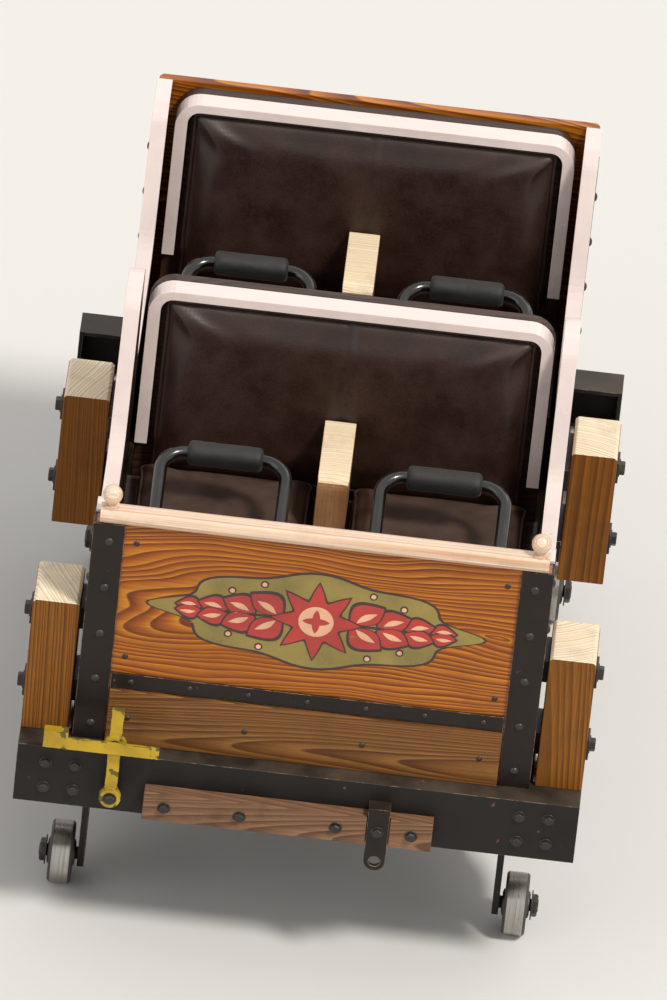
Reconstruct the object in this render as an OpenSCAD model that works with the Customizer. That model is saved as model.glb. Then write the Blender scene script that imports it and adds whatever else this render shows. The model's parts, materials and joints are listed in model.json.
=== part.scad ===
// Two-bench roller coaster car for a wooden track, the leading car of its train.
// X is across the car with its left side at +X, Y runs from the nose (-Y) to the tail (+Y), and Z is up.
// At Z = 0 is the floor that its up-stop wheels stand on when the car is off the track.
// Lengths along the car are stations: distances behind the front face of the body.

/* [Track] */
// Distance between the inner faces of the two rails
gauge = 1067; // [1040:1:1080]
// Width of the steel strap that the road wheels run on
strap_w = 102; // [96:1:108]
// Height of the rail ledge that runs between road and up-stop wheels
ledge_h = 92; // [84:1:104]
// Gap between a guide wheel and the rail
guide_gap = 4; // [3:1:8]
// Gap between an up-stop wheel and the underside of the ledge
upstop_gap = 6; // [5:1:12]
// How far an up-stop wheel reaches under the ledge
upstop_reach = 42; // [34:1:46]

/* [Wheels] */
// Diameter of a road wheel
road_d = 280; // [260:2:286]
// Width of its tread
road_w = 76; // [66:1:80]
// Diameter of a guide wheel
guide_d = 178; // [166:2:184]
// Width of its tread
guide_w = 50; // [40:1:56]
// Diameter of an up-stop wheel
upstop_d = 152; // [144:2:156]
// Width of its tread
upstop_w = 56; // [48:1:58]
// Distance from the body's front to the front axle
front_inset = 200; // [190:1:230]
// Distance from the body's rear to the rear axle
rear_inset = 220; // [205:1:240]
// Distance along the car from an axle to its guide wheels
guide_lead = 180; // [176:1:200]
// Radius of a road wheel's stub axle
road_pin_r = 20; // [17:1:22]
// Radius of a guide or up-stop wheel's stub axle
small_pin_r = 15; // [12:1:16]

/* [Body] */
// Width over the side panels
body_w = 1080; // [1060:2:1096]
// Length over the front and rear panels
body_l = 1800; // [1790:5:1840]
// Height of the front panel with its cap rail
front_h = 650; // [620:5:690]
// Height of the seat backs above the deck
back_h = 742; // [720:2:780]
// Height of the arm rests above the deck
arm_h = 400; // [380:5:420]
// Thickness of a side panel
side_t = 30; // [24:1:34]
// Thickness of the front and rear panels
panel_t = 25; // [20:1:28]
// Thickness of the floor boards
floor_t = 25; // [20:1:30]
// Height of the facing board along the foot of the front panel
lower_board_h = 150; // [140:5:160]
// Height of the steel strip above it
strip_h = 42; // [36:1:48]
// Thickness of the facing board below the strip
lower_board_t = 13; // [10:1:16]
// Width of the steel corner angles
iron_w = 70; // [60:1:80]
// Thickness of the steel corner angles
iron_t = 6; // [5:1:8]

/* [Stake posts] */
// Width of a post across the car
post_w = 112; // [100:1:120]
// Depth of a post along the car
post_l = 170; // [150:2:180]
// Height of a post
post_h = 365; // [345:5:400]
// Station of a front post's face
post_s = 10; // [6:1:16]
// Distance from a front post to the one behind it
post_pitch = 900; // [870:5:930]
// Thickness of the packing between the posts and the body
post_packing = 18; // [14:1:24]

/* [Seats] */
// Height of the cushions above the deck
seat_h = 320; // [310:2:330]
// Thickness of a cushion
cushion_t = 80; // [70:1:90]
// Station of the front bench's cushions
cushion_s = 390; // [386:1:400]
// Length of a cushion down to the foot of the seat back
cushion_l = 366; // [350:2:380]
// Thickness of a back pad
pad_t = 60; // [50:1:64]
// Backward lean of the seat backs in degrees
lean = 7.9; // [6:0.1:8.2]
// Width of a seat divider
divider_w = 76; // [60:1:84]
// Height of a seat divider above the deck
divider_h = 465; // [450:1:480]

/* [Lap bars] */
// Radius of the bar's tube
bar_r = 16; // [14:1:18]
// Width over the middle of the two arms
bar_span = 300; // [280:2:310]
// Radius of the foam sleeve
sleeve_r = 30; // [26:1:34]
// Radius of the hinge pin
hinge_r = 10; // [8:1:11]

/* [Frame] */
// Height of the sills
sill_h = 120; // [110:1:125]
// Width of a sill's flanges
sill_w = 50; // [44:1:60]
// Distance between the sills' outer faces
sill_span = 860; // [820:5:900]
// Height of the front and rear beams
beam_h = 160; // [150:1:170]
// Depth of the front and rear beams along the car
beam_l = 90; // [84:1:96]
// Width of the square axle tubes
axle_tube = 70; // [64:1:76]
// Length of the drawbar between its pin holes
drawbar_l = 330; // [300:5:360]
// Radius of the hole for the next car's coupling pin
coupling_r = 17.5; // [15:0.5:20]

/* [Hidden] */
$fn = 64;

// Signs and numbers that pick a corner of the car
left = 1;
right = -1;
front = 0;
rear = 1;

// Clearances: a pin in its bore, a moving piece beside a fixed one, and wood beside steel
run_gap = 0.06;
side_gap = 5;
wood_gap = 2;
close_gap = 0.4;

// Heights worked out from the track upwards
rail_z = upstop_d + upstop_gap + ledge_h;
axle_z = rail_z + road_d / 2;
guide_z = rail_z - ledge_h / 2;
upstop_z = upstop_d / 2;
deck_clear = 15;
deck_z = rail_z + road_d + deck_clear;
sill_z = deck_z - sill_h;
beam_z = deck_z - beam_h;

// Places across the car
strap_x = gauge / 2 + strap_w / 2;
guide_x = gauge / 2 - guide_gap - guide_d / 2;
upstop_x = gauge / 2 + upstop_reach - upstop_w / 2;
hub_proud = 4;
carrier_t = 16;
carrier_gap = 8;
carrier_x = upstop_x - upstop_w / 2 - hub_proud - carrier_gap;
body_x = body_w / 2;
inner_x = body_x - side_t;
post_x = body_x + post_packing;
overall_w = 2 * (post_x + post_w);

// Places along the car
front_axle_s = front_inset;
rear_axle_s = body_l - rear_inset;
beam_out = 60;
buffer_t = 38;
pedal_out = 52;
nose_l = beam_out + pedal_out;
hitch_out = 50;
hitch_s = body_l + beam_out + hitch_out;
hitch_pin_r = 16;
eye_r = 44;
tail_l = hitch_s - body_l + drawbar_l + eye_r;
overall_l = nose_l + body_l + tail_l;

// Seats
bench_gap = 12;
bench_x = inner_x - bench_gap;
bench_back = 10;
bench_s = cushion_s + bench_back;
foot_gap = 5;
back_foot_z = seat_h - cushion_t + foot_gap;
back_foot_s = cushion_s + cushion_l;
board_t = 30;
board_gap = 6;
board_side = 22;
trim_w = 30;
trim_t = 8;
row_pitch = floor(body_l - panel_t - board_gap - back_s(back_h) - pad_t - board_t);
board_x = inner_x - board_side;
pad_x = board_x - trim_w - wood_gap;
cushion_over = 20;
cushion_x = pad_x + cushion_over;
corner_r = 60;
cap_h = 40;
rail_flat = 16;
rail_end = 8;
knob_r = 24;
knob_lift = 32;
knob_neck_r = 12;
knob_foot_r = 19;

// Lap bars, as stations and heights above the deck in the front row
hinge_lead = 100;
hinge_s = cushion_s - hinge_lead;
hinge_h = 130;
arm_l = 272;
arm_tilt = 82.4;
hoop_l = 244;
hoop_tilt = 16.7;
bar_bend = 60;
tube_over = 2;
tube_end = bar_span / 2 + bar_r + tube_over;
elbow_s = hinge_s + arm_l * cos(arm_tilt);
elbow_h = hinge_h + arm_l * sin(arm_tilt);
grip_s = elbow_s + hoop_l * cos(hoop_tilt);
grip_h = elbow_h + hoop_l * sin(hoop_tilt);
seat_x = (divider_w / 2 + board_x) / 2;
ear_t = 10;
ear_w = 56;

// Brake fin and dogs
fin_x = 120;
fin_t = 10;
fin_h = 150;
dog_t = 36;
dog_pin_drop = 40;
dog_pin_z = sill_z - dog_pin_drop;
chain_dog_lead = 420;
rollback_dog_lead = 330;
chain_dog_s = front_axle_s + chain_dog_lead;
rollback_dog_s = rear_axle_s - rollback_dog_lead;

function y_at(s) = s - overall_l / 2 + nose_l;
function row_s(row) = row * row_pitch;
function axle_s(end) = end == front ? front_axle_s : rear_axle_s;
function inboard(end) = end == front ? 1 : -1;

// Station of the front face of a seat back at a height above the deck
function back_s(z) = back_foot_s + (z - back_foot_z) * tan(lean);

// A path through rows of [station, height, corner radius], with each corner rounded to its radius.
// The first and last rows are the path's ends.
function unit(v) = v / norm(v);
function corner(before, at, after, r, steps) =
    let (
        u = unit(before - at),
        w = unit(after - at),
        half = acos(u * w) / 2,
        centre = at + unit(u + w) * r / sin(half),
        from = at + u * r / tan(half) - centre,
        to = at + w * r / tan(half) - centre,
        start = atan2(from[1], from[0]),
        turn = atan2(to[1], to[0]) - start,
        sweep = turn - 360 * round(turn / 360)
    )
    [for (i = [0:steps]) centre + r * [cos(start + sweep * i / steps), sin(start + sweep * i / steps)]];
function flat(row) = [row[0], row[1]];
function rounded(rows, steps = 8) = [
    for (i = [0:len(rows) - 1])
        each i == 0 || i == len(rows) - 1 || rows[i][2] == 0
            ? [flat(rows[i])]
            : corner(flat(rows[i - 1]), flat(rows[i]), flat(rows[i + 1]), rows[i][2], steps)
];

// A band of even thickness on the left of a path
function side_of(path, i) =
    let (way = unit(path[min(i + 1, len(path) - 1)] - path[max(i - 1, 0)])) [-way[1], way[0]];
function band(path, t) =
    concat(path, [for (i = [len(path) - 1:-1:0]) path[i] + t * side_of(path, i)]);

// A profile of stations and heights above the deck, drawn from one side of the car to the other
module across(x_low, x_high) {
    translate([x_low, y_at(0), deck_z]) rotate([90, 0, 90]) linear_extrude(x_high - x_low) children();
}

// A profile seen from the front, drawn from one station to another
module along(s_low, s_high) {
    translate([0, y_at(s_high), deck_z]) rotate([90, 0, 0]) linear_extrude(s_high - s_low) children();
}

// A block by its corners, as stations and heights above the deck
module block(x, s, z) {
    translate([x[0], y_at(s[0]), deck_z + z[0]]) cube([x[1] - x[0], s[1] - s[0], z[1] - z[0]]);
}

// A round bar along X, from a side's inner end to its outer one
module cross_pin(side, x, r, s, z) {
    translate([side * x[0], y_at(s), z]) rotate([0, side * 90, 0]) cylinder(r = r, h = x[1] - x[0]);
}

// Frame

// Both channel sills, open towards the middle of the car
module side_sills() {
    web = 8;
    color("#26211f")
        for (side = [left, right])
            difference() {
                block([min(side * sill_span / 2, side * (sill_span / 2 - sill_w)),
                       max(side * sill_span / 2, side * (sill_span / 2 - sill_w))],
                      [beam_l - beam_out, body_l - beam_l + beam_out], [-sill_h, 0]);
                block([min(side * (sill_span / 2 - web), side * (sill_span / 2 - sill_w - web)),
                       max(side * (sill_span / 2 - web), side * (sill_span / 2 - sill_w - web))],
                      [0, body_l], [web - sill_h, -web]);
            }
}

// A channel across one end of the car, closed at its ends, with its web outermost
module beam(s_out, s_in) {
    plate = 10;
    s = [min(s_out, s_in), max(s_out, s_in)];
    open = s_out < s_in ? [s[0] + plate, s[1] + plate] : [s[0] - plate, s[1] - plate];
    difference() {
        block([-overall_w / 2, overall_w / 2], s, [-beam_h, 0]);
        block([plate - overall_w / 2, overall_w / 2 - plate], open, [plate - beam_h, -plate]);
    }
}

// The rear beam carries the two ears that hold the drawbar's pin
module end_beams() {
    ear_gap = 42;
    plate = 14;
    pin_head = 9;
    color("#26211f") {
        beam(-beam_out, beam_l - beam_out);
        difference() {
            union() {
                beam(body_l + beam_out, body_l - beam_l + beam_out);
                for (z = [-plate - ear_gap / 2, ear_gap / 2])
                    translate([0, y_at(0), deck_z - beam_h / 2 + z]) {
                        translate([-eye_r, body_l + beam_out - 1, 0])
                            cube([2 * eye_r, hitch_s - body_l - beam_out + 1, plate]);
                        translate([0, hitch_s, 0]) cylinder(r = eye_r, h = plate);
                    }
            }
            translate([0, y_at(hitch_s), beam_z]) cylinder(r = hitch_pin_r, h = beam_h);
        }
        translate([0, y_at(hitch_s), deck_z - beam_h / 2 - ear_gap / 2 - plate])
            cylinder(r = hitch_pin_r, h = ear_gap + 2 * plate);
        translate([0, y_at(hitch_s), deck_z - beam_h / 2 + ear_gap / 2 + plate])
            cylinder(r = hitch_pin_r + pin_head, h = pin_head);
    }
}

// Square tubes under the sills, from carrier to carrier
module axle_tubes() {
    wall = 6;
    tube_x = carrier_x - carrier_t;
    color("#26211f")
        for (end = [front, rear])
            translate([-tube_x, y_at(axle_s(end)) - axle_tube / 2, sill_z - axle_tube])
                difference() {
                    cube([2 * tube_x, axle_tube, axle_tube]);
                    translate([-1, wall, wall]) cube([2 * tube_x + 2, axle_tube - 2 * wall, axle_tube - 2 * wall]);
                }
}

// Hanger plate at one end of an axle tube, with the stub axles of its three wheels
module wheel_carrier(end, side) {
    plate_w = 120;
    foot_w = 64;
    waist = 50;
    arm_t = 20;
    arm_w = 70;
    collar = 14;
    small_collar = 8;
    nut_l = 15;
    tip = 2;
    spindle_top = guide_z + guide_w / 2 + side_gap;
    spindle_low = guide_z - guide_w / 2 - side_gap - nut_l;
    arm_z = spindle_top + arm_t;
    s0 = axle_s(end);
    way = inboard(end);
    road_out = strap_x + road_w / 2 + hub_proud + side_gap;
    upstop_out = upstop_x + upstop_w / 2 + hub_proud + side_gap;
    // plate, narrower towards the up-stop wheel
    translate([side > 0 ? carrier_x - carrier_t : -carrier_x, y_at(s0), 0])
        rotate([90, 0, 90])
            linear_extrude(carrier_t) {
                polygon([[-plate_w / 2, sill_z], [plate_w / 2, sill_z], [plate_w / 2, axle_z - waist],
                         [foot_w / 2, upstop_z], [-foot_w / 2, upstop_z], [-plate_w / 2, axle_z - waist]]);
                translate([0, upstop_z]) circle(r = foot_w / 2);
            }
    // road wheel's stub axle with its collar and nut
    cross_pin(side, [carrier_x - 1, road_out + nut_l + tip], road_pin_r, s0, axle_z);
    cross_pin(side, [carrier_x - 1, strap_x - road_w / 2 - hub_proud - side_gap], road_pin_r + collar, s0, axle_z);
    cross_pin(side, [road_out, road_out + nut_l], road_pin_r + small_collar, s0, axle_z);
    // up-stop wheel's stub axle
    cross_pin(side, [carrier_x - 1, upstop_out + nut_l + tip], small_pin_r, s0, upstop_z);
    cross_pin(side, [upstop_out, upstop_out + nut_l], small_pin_r + small_collar, s0, upstop_z);
    // bracket and arm over the guide wheel, with its spindle
    translate([0, y_at(s0), 0]) {
        x_low = guide_x - arm_w / 2;
        x_in = side > 0 ? x_low : -carrier_x + carrier_t - 1;
        x_w = carrier_x - carrier_t + 1 - x_low;
        near = axle_tube / 2;
        translate([x_in, way > 0 ? near : -near - arm_t, arm_z]) cube([x_w, arm_t, sill_z - arm_z]);
        translate([x_in, way > 0 ? near : -guide_lead, arm_z]) cube([x_w, guide_lead - near, arm_t]);
        translate([side * guide_x, way * guide_lead, 0]) {
            translate([0, 0, arm_z]) cylinder(r = arm_w / 2, h = arm_t);
            translate([0, 0, spindle_top]) cylinder(r = small_pin_r + small_collar, h = arm_z - spindle_top + 1);
            translate([0, 0, spindle_low - tip]) cylinder(r = small_pin_r, h = arm_z - spindle_low + tip + 1);
            translate([0, 0, spindle_low]) cylinder(r = small_pin_r + small_collar, h = nut_l);
        }
    }
}

module wheel_carriers() {
    color("#2b2523")
        for (end = [front, rear], side = [left, right]) wheel_carrier(end, side);
}

// Flat bar between two stations that hangs from the sills, with two ears for a dog's pin
module dog_bearer(dog_s) {
    bar_h = 60;
    bar_l = 50;
    gap = dog_t / 2 + side_gap;
    ear = 10;
    ear_l = 56;
    web = 8;
    drop = sill_h - web;
    x = sill_span / 2 - web;
    block([-x, x], [dog_s - bar_l / 2, dog_s + bar_l / 2], [-drop, bar_h - drop]);
    for (x_ear = [-gap - ear, gap]) {
        block([x_ear, x_ear + ear], [dog_s - ear_l / 2, dog_s + ear_l / 2], [dog_pin_z - deck_z, 1 - drop]);
        translate([x_ear, y_at(dog_s), dog_pin_z]) rotate([0, 90, 0]) cylinder(r = ear_l / 2, h = ear);
    }
    translate([-gap - ear, y_at(dog_s), dog_pin_z]) rotate([0, 90, 0]) cylinder(r = hinge_r, h = 2 * (gap + ear));
}

module cross_members() {
    color("#26211f")
        for (s = [chain_dog_s, rollback_dog_s]) dog_bearer(s);
}

// Body

module floor_boards() {
    boards = 5;
    gap = 4;
    pitch = (2 * inner_x + gap) / boards;
    color("#5b4632")
        for (i = [0:boards - 1]) {
            x = -inner_x + i * pitch;
            block([x, x + pitch - gap], [panel_t, body_l - panel_t], [0, floor_t]);
        }
}

// Top edge of a side panel, from the front panel back to the rear panel: a cheek behind the front panel,
// a low place to step in, the cheek of the seat back, and the same again
cheek_l = 85;
cheek_drop_l = 110;
back_rise_l = 160;
back_drop_l = 70;
back_lead = 34;
back_trail = 22;
wide_bend = 130;
rise_s = back_s(back_h) - back_lead;
drop_s = back_s(back_h) + pad_t + board_t + back_trail;
function side_edge(start) = rounded([
    // [station, height, corner radius]
    [start, front_h - cap_h, 0],
    [panel_t + cheek_l, front_h - cap_h, corner_r - 10],
    [panel_t + cheek_l + cheek_drop_l, arm_h, wide_bend - 20],
    [rise_s - back_rise_l, arm_h, wide_bend],
    [rise_s, back_h, corner_r],
    [drop_s, back_h, corner_r],
    [drop_s + back_drop_l, arm_h, wide_bend - 30],
    [rise_s - back_rise_l + row_pitch, arm_h, wide_bend],
    [rise_s + row_pitch, back_h, corner_r],
    [body_l - panel_t, back_h, 0],
]);

module side_panels() {
    color("#c9a596")
        for (side = [left, right])
            across(side > 0 ? inner_x : -body_x, side > 0 ? body_x : -inner_x)
                polygon(concat(side_edge(panel_t), [[body_l - panel_t, 0], [panel_t, 0]]));
}

// Moulding along the top edge of each side panel
module side_trims() {
    overlap = 4;
    behind_rail = panel_t / 2 + rail_flat / 2 + cap_h / 2 + 1;
    color("#e2cfc6")
        for (side = [left, right])
            across(side > 0 ? inner_x - overlap : -body_x - overlap, side > 0 ? body_x + overlap : -inner_x + overlap)
                polygon(band(side_edge(behind_rail), trim_t));
}

module front_panel() {
    color("#c97a2c")
        block([-body_x, body_x], [0, panel_t], [0, front_h - cap_h]);
}

// Facing board between the corner angles, on the foot of the front panel
module front_lower_board() {
    x = body_x - iron_w - wood_gap;
    color("#c98f4e") block([-x, x], [-lower_board_t, 0], [0, lower_board_h]);
}

// Rail with round noses along the top of the front panel, with a turned knob on each end
module cap_rail() {
    reach = body_x - rail_end;
    mid = panel_t / 2;
    sunk = 8;
    collar = 5;
    color("#d8a878") {
        translate([0, 0, front_h - cap_h / 2]) {
            block([-reach, reach], [mid - rail_flat / 2, mid + rail_flat / 2], [-cap_h / 2, cap_h / 2]);
            for (s = [mid - rail_flat / 2, mid + rail_flat / 2])
                translate([-reach, y_at(s), deck_z]) rotate([0, 90, 0]) cylinder(r = cap_h / 2, h = 2 * reach);
        }
        for (side = [left, right])
            translate([side * (reach - knob_r), y_at(mid), deck_z + front_h]) {
                translate([0, 0, -sunk]) cylinder(r = knob_foot_r, h = sunk + collar);
                cylinder(r = knob_neck_r, h = knob_lift);
                translate([0, 0, knob_lift]) sphere(r = knob_r);
            }
    }
}

module rear_panel() {
    top = back_h + trim_t;
    head_r = 14;
    outline = rounded([[-body_x, 0, 0], [-body_x, top, head_r], [body_x, top, head_r], [body_x, 0, 0]], 4);
    color("#b9712f") along(body_l - panel_t, body_l) polygon(outline);
}

// Steel angles on the four corners, a strip across the front panel, and two packing bars behind each post
module body_irons() {
    front_top = front_h - cap_h;
    trim_below = 90;
    rear_top = back_h - trim_below;
    bar_h = 60;
    bar_low = 50;
    bar_high = post_h - bar_low - bar_h;
    strip_x = body_x - iron_w - wood_gap;
    color("#2e2320") {
        block([-strip_x, strip_x], [-iron_t, 0], [lower_board_h + wood_gap, lower_board_h + wood_gap + strip_h]);
        for (side = [left, right]) {
            x_face = side > 0 ? [body_x - iron_w, body_x + iron_t] : [-body_x - iron_t, -body_x + iron_w];
            x_leg = side > 0 ? [body_x, body_x + iron_t] : [-body_x - iron_t, -body_x];
            x_pack = side > 0 ? [body_x, post_x] : [-post_x, -body_x];
            block(x_face, [-iron_t, 0], [0, front_top]);
            block(x_leg, [-iron_t, iron_w], [0, front_top]);
            block(x_face, [body_l, body_l + iron_t], [0, rear_top]);
            block(x_leg, [body_l - iron_w, body_l + iron_t], [0, rear_top]);
            for (s = [post_s, post_s + post_pitch], z = [bar_low, bar_high])
                block(x_pack, [max(s, iron_w + wood_gap), s + post_l], [z, z + bar_h]);
        }
    }
}

// Timber posts with chamfered heads, two on each side
module stake_posts() {
    chamfer = 8;
    color("#a8762f")
        for (side = [left, right], s = [post_s, post_s + post_pitch])
            along(s, s + post_l)
                translate([side > 0 ? post_x : -post_x - post_w, 0])
                    polygon([[0, 0], [post_w, 0], [post_w, post_h - chamfer], [post_w - chamfer, post_h],
                             [chamfer, post_h], [0, post_h - chamfer]]);
}

// Seats

// Bench boxes, open towards the floor
module benches() {
    ply = 18;
    top = seat_h - cushion_t;
    bench_end = back_s(floor_t) + pad_t;
    color("#3a241c")
        for (row = [front, rear])
            translate([0, row_s(row), 0])
                difference() {
                    block([-bench_x, bench_x], [bench_s, bench_end], [floor_t, top]);
                    block([ply - bench_x, bench_x - ply], [bench_s + ply, bench_end - ply], [floor_t - 1, top - ply]);
                }
}

// Cushions with a rounded front edge, one for each seat
module seat_cushions() {
    low = seat_h - cushion_t;
    back_gap = 8;
    foot_r = 14;
    nose_r = 34;
    tail_r = 12;
    far = back_s(seat_h) - back_gap;
    near_x = divider_w / 2 + wood_gap;
    profile = rounded([
        [far, low, 0], [cushion_s, low, foot_r], [cushion_s, seat_h, nose_r],
        [far, seat_h, tail_r], [far, low, 0]], 5);
    color("#3b2620")
        for (row = [front, rear], x = [-cushion_x, near_x])
            translate([0, row_s(row), 0])
                across(x, x + cushion_x - near_x) polygon(profile);
}

// Boards behind the back pads, from the floor to the top of the seat back
module back_boards() {
    outline = rounded([
        [-board_x, 0, 0], [-board_x, back_h, corner_r], [board_x, back_h, corner_r], [board_x, 0, 0]]);
    color("#3a241c")
        for (row = [front, rear])
            translate([0, row_s(row), 0])
                intersection() {
                    across(-board_x, board_x)
                        polygon([[back_s(floor_t) + pad_t, floor_t], [back_s(floor_t) + pad_t + board_t, floor_t],
                                 [back_s(back_h) + pad_t + board_t, back_h], [back_s(back_h) + pad_t, back_h]]);
                    along(0, body_l) polygon(outline);
                }
}

// Padded backs, one across both seats of a row
module back_pads() {
    top = back_h - trim_w + wood_gap * 3;
    inset = corner_r - trim_w;
    foot_r = 18;
    head_r = 24;
    face = rounded([
        [-pad_x, back_foot_z, 0], [-pad_x, top, inset], [pad_x, top, inset], [pad_x, back_foot_z, 0]], 5);
    profile = rounded([
        [back_s(back_foot_z) + pad_t - close_gap, back_foot_z, 0], [back_s(back_foot_z), back_foot_z, foot_r],
        [back_s(top), top, head_r], [back_s(top) + pad_t - close_gap, top, 0]], 5);
    color("#33211c")
        for (row = [front, rear])
            translate([0, row_s(row), 0])
                intersection() {
                    across(-pad_x, pad_x) polygon(profile);
                    along(0, body_l) polygon(face);
                }
}

// Mouldings over the top and down both sides of the back pads
module back_trims() {
    foot_over = 20;
    foot = seat_h + foot_over;
    recess = 6;
    inner = pad_x + wood_gap;
    inner_top = back_h - trim_w + wood_gap * 4;
    color("#e2cfc6")
        for (row = [front, rear])
            translate([0, row_s(row), 0])
                intersection() {
                    across(-board_x, board_x)
                        polygon([[back_s(foot) + recess, foot], [back_s(foot) + pad_t - close_gap, foot],
                                 [back_s(back_h) + pad_t - close_gap, back_h], [back_s(back_h) + recess, back_h]]);
                    along(0, body_l)
                        difference() {
                            polygon(rounded([[-board_x, foot, 0], [-board_x, back_h, corner_r],
                                             [board_x, back_h, corner_r], [board_x, foot, 0]]));
                            polygon(rounded([[-inner, foot - 1, 0], [-inner, inner_top, corner_r - trim_w],
                                             [inner, inner_top, corner_r - trim_w], [inner, foot - 1, 0]], 5));
                        }
                }
}

// Timber blocks between the two seats of a row
module seat_dividers() {
    low = seat_h - cushion_t;
    setback = 130;
    nose_r = 30;
    tail_r = 10;
    front_s = cushion_s + setback;
    profile = rounded([
        [back_s(low) - wood_gap, low, 0], [front_s, low, 0], [front_s, divider_h, nose_r],
        [back_s(divider_h) - wood_gap, divider_h, tail_r], [back_s(low) - wood_gap, low, 0]], 6);
    color("#c79a5c")
        for (row = [front, rear])
            translate([0, row_s(row), 0]) across(-divider_w / 2, divider_w / 2) polygon(profile);
}

// Lap bars

// Two ears, a foot plate and the hinge pin of each lap bar
module bar_stands() {
    play = 3;
    foot_t = 8;
    inside = tube_end + play;
    color("#2b2523")
        for (row = [front, rear], side = [left, right])
            translate([side * seat_x, row_s(row), 0]) {
                s_ear = [hinge_s - ear_w / 2, hinge_s + ear_w / 2];
                block([-inside - ear_t, inside + ear_t], s_ear, [floor_t, floor_t + foot_t]);
                for (x = [-inside - ear_t, inside]) {
                    block([x, x + ear_t], s_ear, [floor_t, hinge_h]);
                    translate([x, y_at(hinge_s), deck_z + hinge_h])
                        rotate([0, 90, 0]) cylinder(r = ear_w / 2, h = ear_t);
                }
                translate([-inside - ear_t, y_at(hinge_s), deck_z + hinge_h])
                    rotate([0, 90, 0]) cylinder(r = hinge_r, h = 2 * (inside + ear_t));
            }
}

// Hoop of tube with its hinge sleeve: two arms up from the hinge to the elbows, then back over the rider's lap
module lap_bar(row, side) {
    half = bar_span / 2;
    turn = arm_tilt - hoop_tilt;
    cut = bar_bend * tan(turn / 2);
    straight = 30;
    sleeve_t = 12;
    color("#15161a")
        translate([side * seat_x, row_s(row), 0]) {
            difference() {
                union() {
                    translate([-tube_end, y_at(hinge_s), deck_z + hinge_h])
                        rotate([0, 90, 0]) cylinder(r = hinge_r + sleeve_t, h = 2 * tube_end);
                    for (x = [-half, half])
                        translate([x, y_at(hinge_s), deck_z + hinge_h])
                            rotate([arm_tilt - 90, 0, 0]) cylinder(r = bar_r, h = arm_l - straight);
                }
                translate([-tube_end - 1, y_at(hinge_s), deck_z + hinge_h])
                    rotate([0, 90, 0]) cylinder(r = hinge_r + run_gap, h = 2 * tube_end + 2);
            }
            // elbow fittings, a little stouter than the tube
            for (x = [-half, half])
                translate([x, y_at(elbow_s), deck_z + elbow_h])
                    rotate([90, 0, 90])
                        translate([bar_bend * sin(arm_tilt) - cut * cos(arm_tilt),
                                   -bar_bend * cos(arm_tilt) - cut * sin(arm_tilt), 0])
                            rotate([0, 0, hoop_tilt + 90])
                                rotate_extrude(angle = turn) translate([bar_bend, 0]) circle(r = bar_r + 1);
            // hoop
            translate([0, y_at(elbow_s), deck_z + elbow_h])
                rotate([hoop_tilt, 0, 0]) {
                    for (x = [-half, half])
                        translate([x, straight, 0])
                            rotate([-90, 0, 0]) cylinder(r = bar_r, h = hoop_l - bar_bend - straight);
                    for (quarter = [0, 1])
                        translate([(1 - 2 * quarter) * (half - bar_bend), hoop_l - bar_bend, 0])
                            rotate([0, 0, quarter * 90])
                                rotate_extrude(angle = 90) translate([bar_bend, 0]) circle(r = bar_r);
                    translate([bar_bend - half, hoop_l, 0])
                        rotate([0, 90, 0]) cylinder(r = bar_r, h = bar_span - 2 * bar_bend);
                }
        }
}

// Foam sleeve on the hoop's cross tube
module lap_sleeves(row, side) {
    long = bar_span - 2 * bar_bend;
    bore = bar_r + 0.3;
    soft = 10;
    color("#101114")
        translate([side * seat_x - long / 2, y_at(grip_s + row_s(row)), deck_z + grip_h])
            rotate([0, 90, 0])
                rotate_extrude()
                    polygon([[bore, 0], [sleeve_r - soft, 0], [sleeve_r - soft * 0.3, soft * 0.3], [sleeve_r, soft],
                             [sleeve_r, long - soft], [sleeve_r - soft * 0.3, long - soft * 0.3],
                             [sleeve_r - soft, long], [bore, long]]);
}

// Nose

// Foot pedal that frees the lap bars: a long tread across an upright lever, which turns on a boss on the beam
module release_pedal() {
    tread_low = -610;
    tread_high = -334;
    tread_foot = 32;
    tread_top = 64;
    lever_x = -440;
    lever_w = 30;
    lever_top = 150;
    lever_t = 12;
    boss_z = -100;
    boss_r = 26;
    hub_r = 27;
    foot_l = 58;
    plate = 8;
    lip = 14;
    stand_off = 24;
    washer = 6;
    s_lever = -beam_out - stand_off;
    s_edge = -beam_out - pedal_out;
    color("#e0c020") {
        // tread with a turned-up lip, and a raised foot plate at its outer end
        block([tread_low, tread_high], [s_edge, s_lever], [tread_foot, tread_foot + plate]);
        block([tread_low, tread_high], [s_edge, s_edge + plate], [tread_foot, tread_top]);
        block([tread_low, tread_low + foot_l], [s_edge, s_lever], [tread_top - plate, tread_top + lip]);
        // lever
        block([lever_x - lever_w / 2, lever_x + lever_w / 2], [s_lever - lever_t, s_lever], [boss_z, lever_top]);
        for (z = [boss_z, tread_top - lip])
            translate([lever_x, y_at(s_lever), deck_z + z]) rotate([90, 0, 0])
                cylinder(r = z == boss_z ? boss_r : hub_r, h = lever_t + washer);
        // boss on the beam
        translate([lever_x, y_at(-beam_out), deck_z + boss_z])
            rotate([90, 0, 0]) cylinder(r = boss_r - plate, h = stand_off + washer);
    }
}

// Timber board bolted to the lower half of the front beam
buffer_low = -150;
buffer_top = -72;
strap_at = 200;
strap_t = 12;
strap_half = 26;
module buffer_board() {
    board_low = -360;
    board_high = 330;
    color("#c89b6a")
        difference() {
            block([board_low, board_high], [-beam_out - buffer_t, -beam_out], [buffer_low, buffer_top]);
            block([strap_at - strap_half - wood_gap, strap_at + strap_half + wood_gap],
                  [-beam_out - buffer_t - 1, -beam_out - buffer_t + strap_t], [buffer_low - 1, buffer_top + 1]);
        }
}

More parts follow.
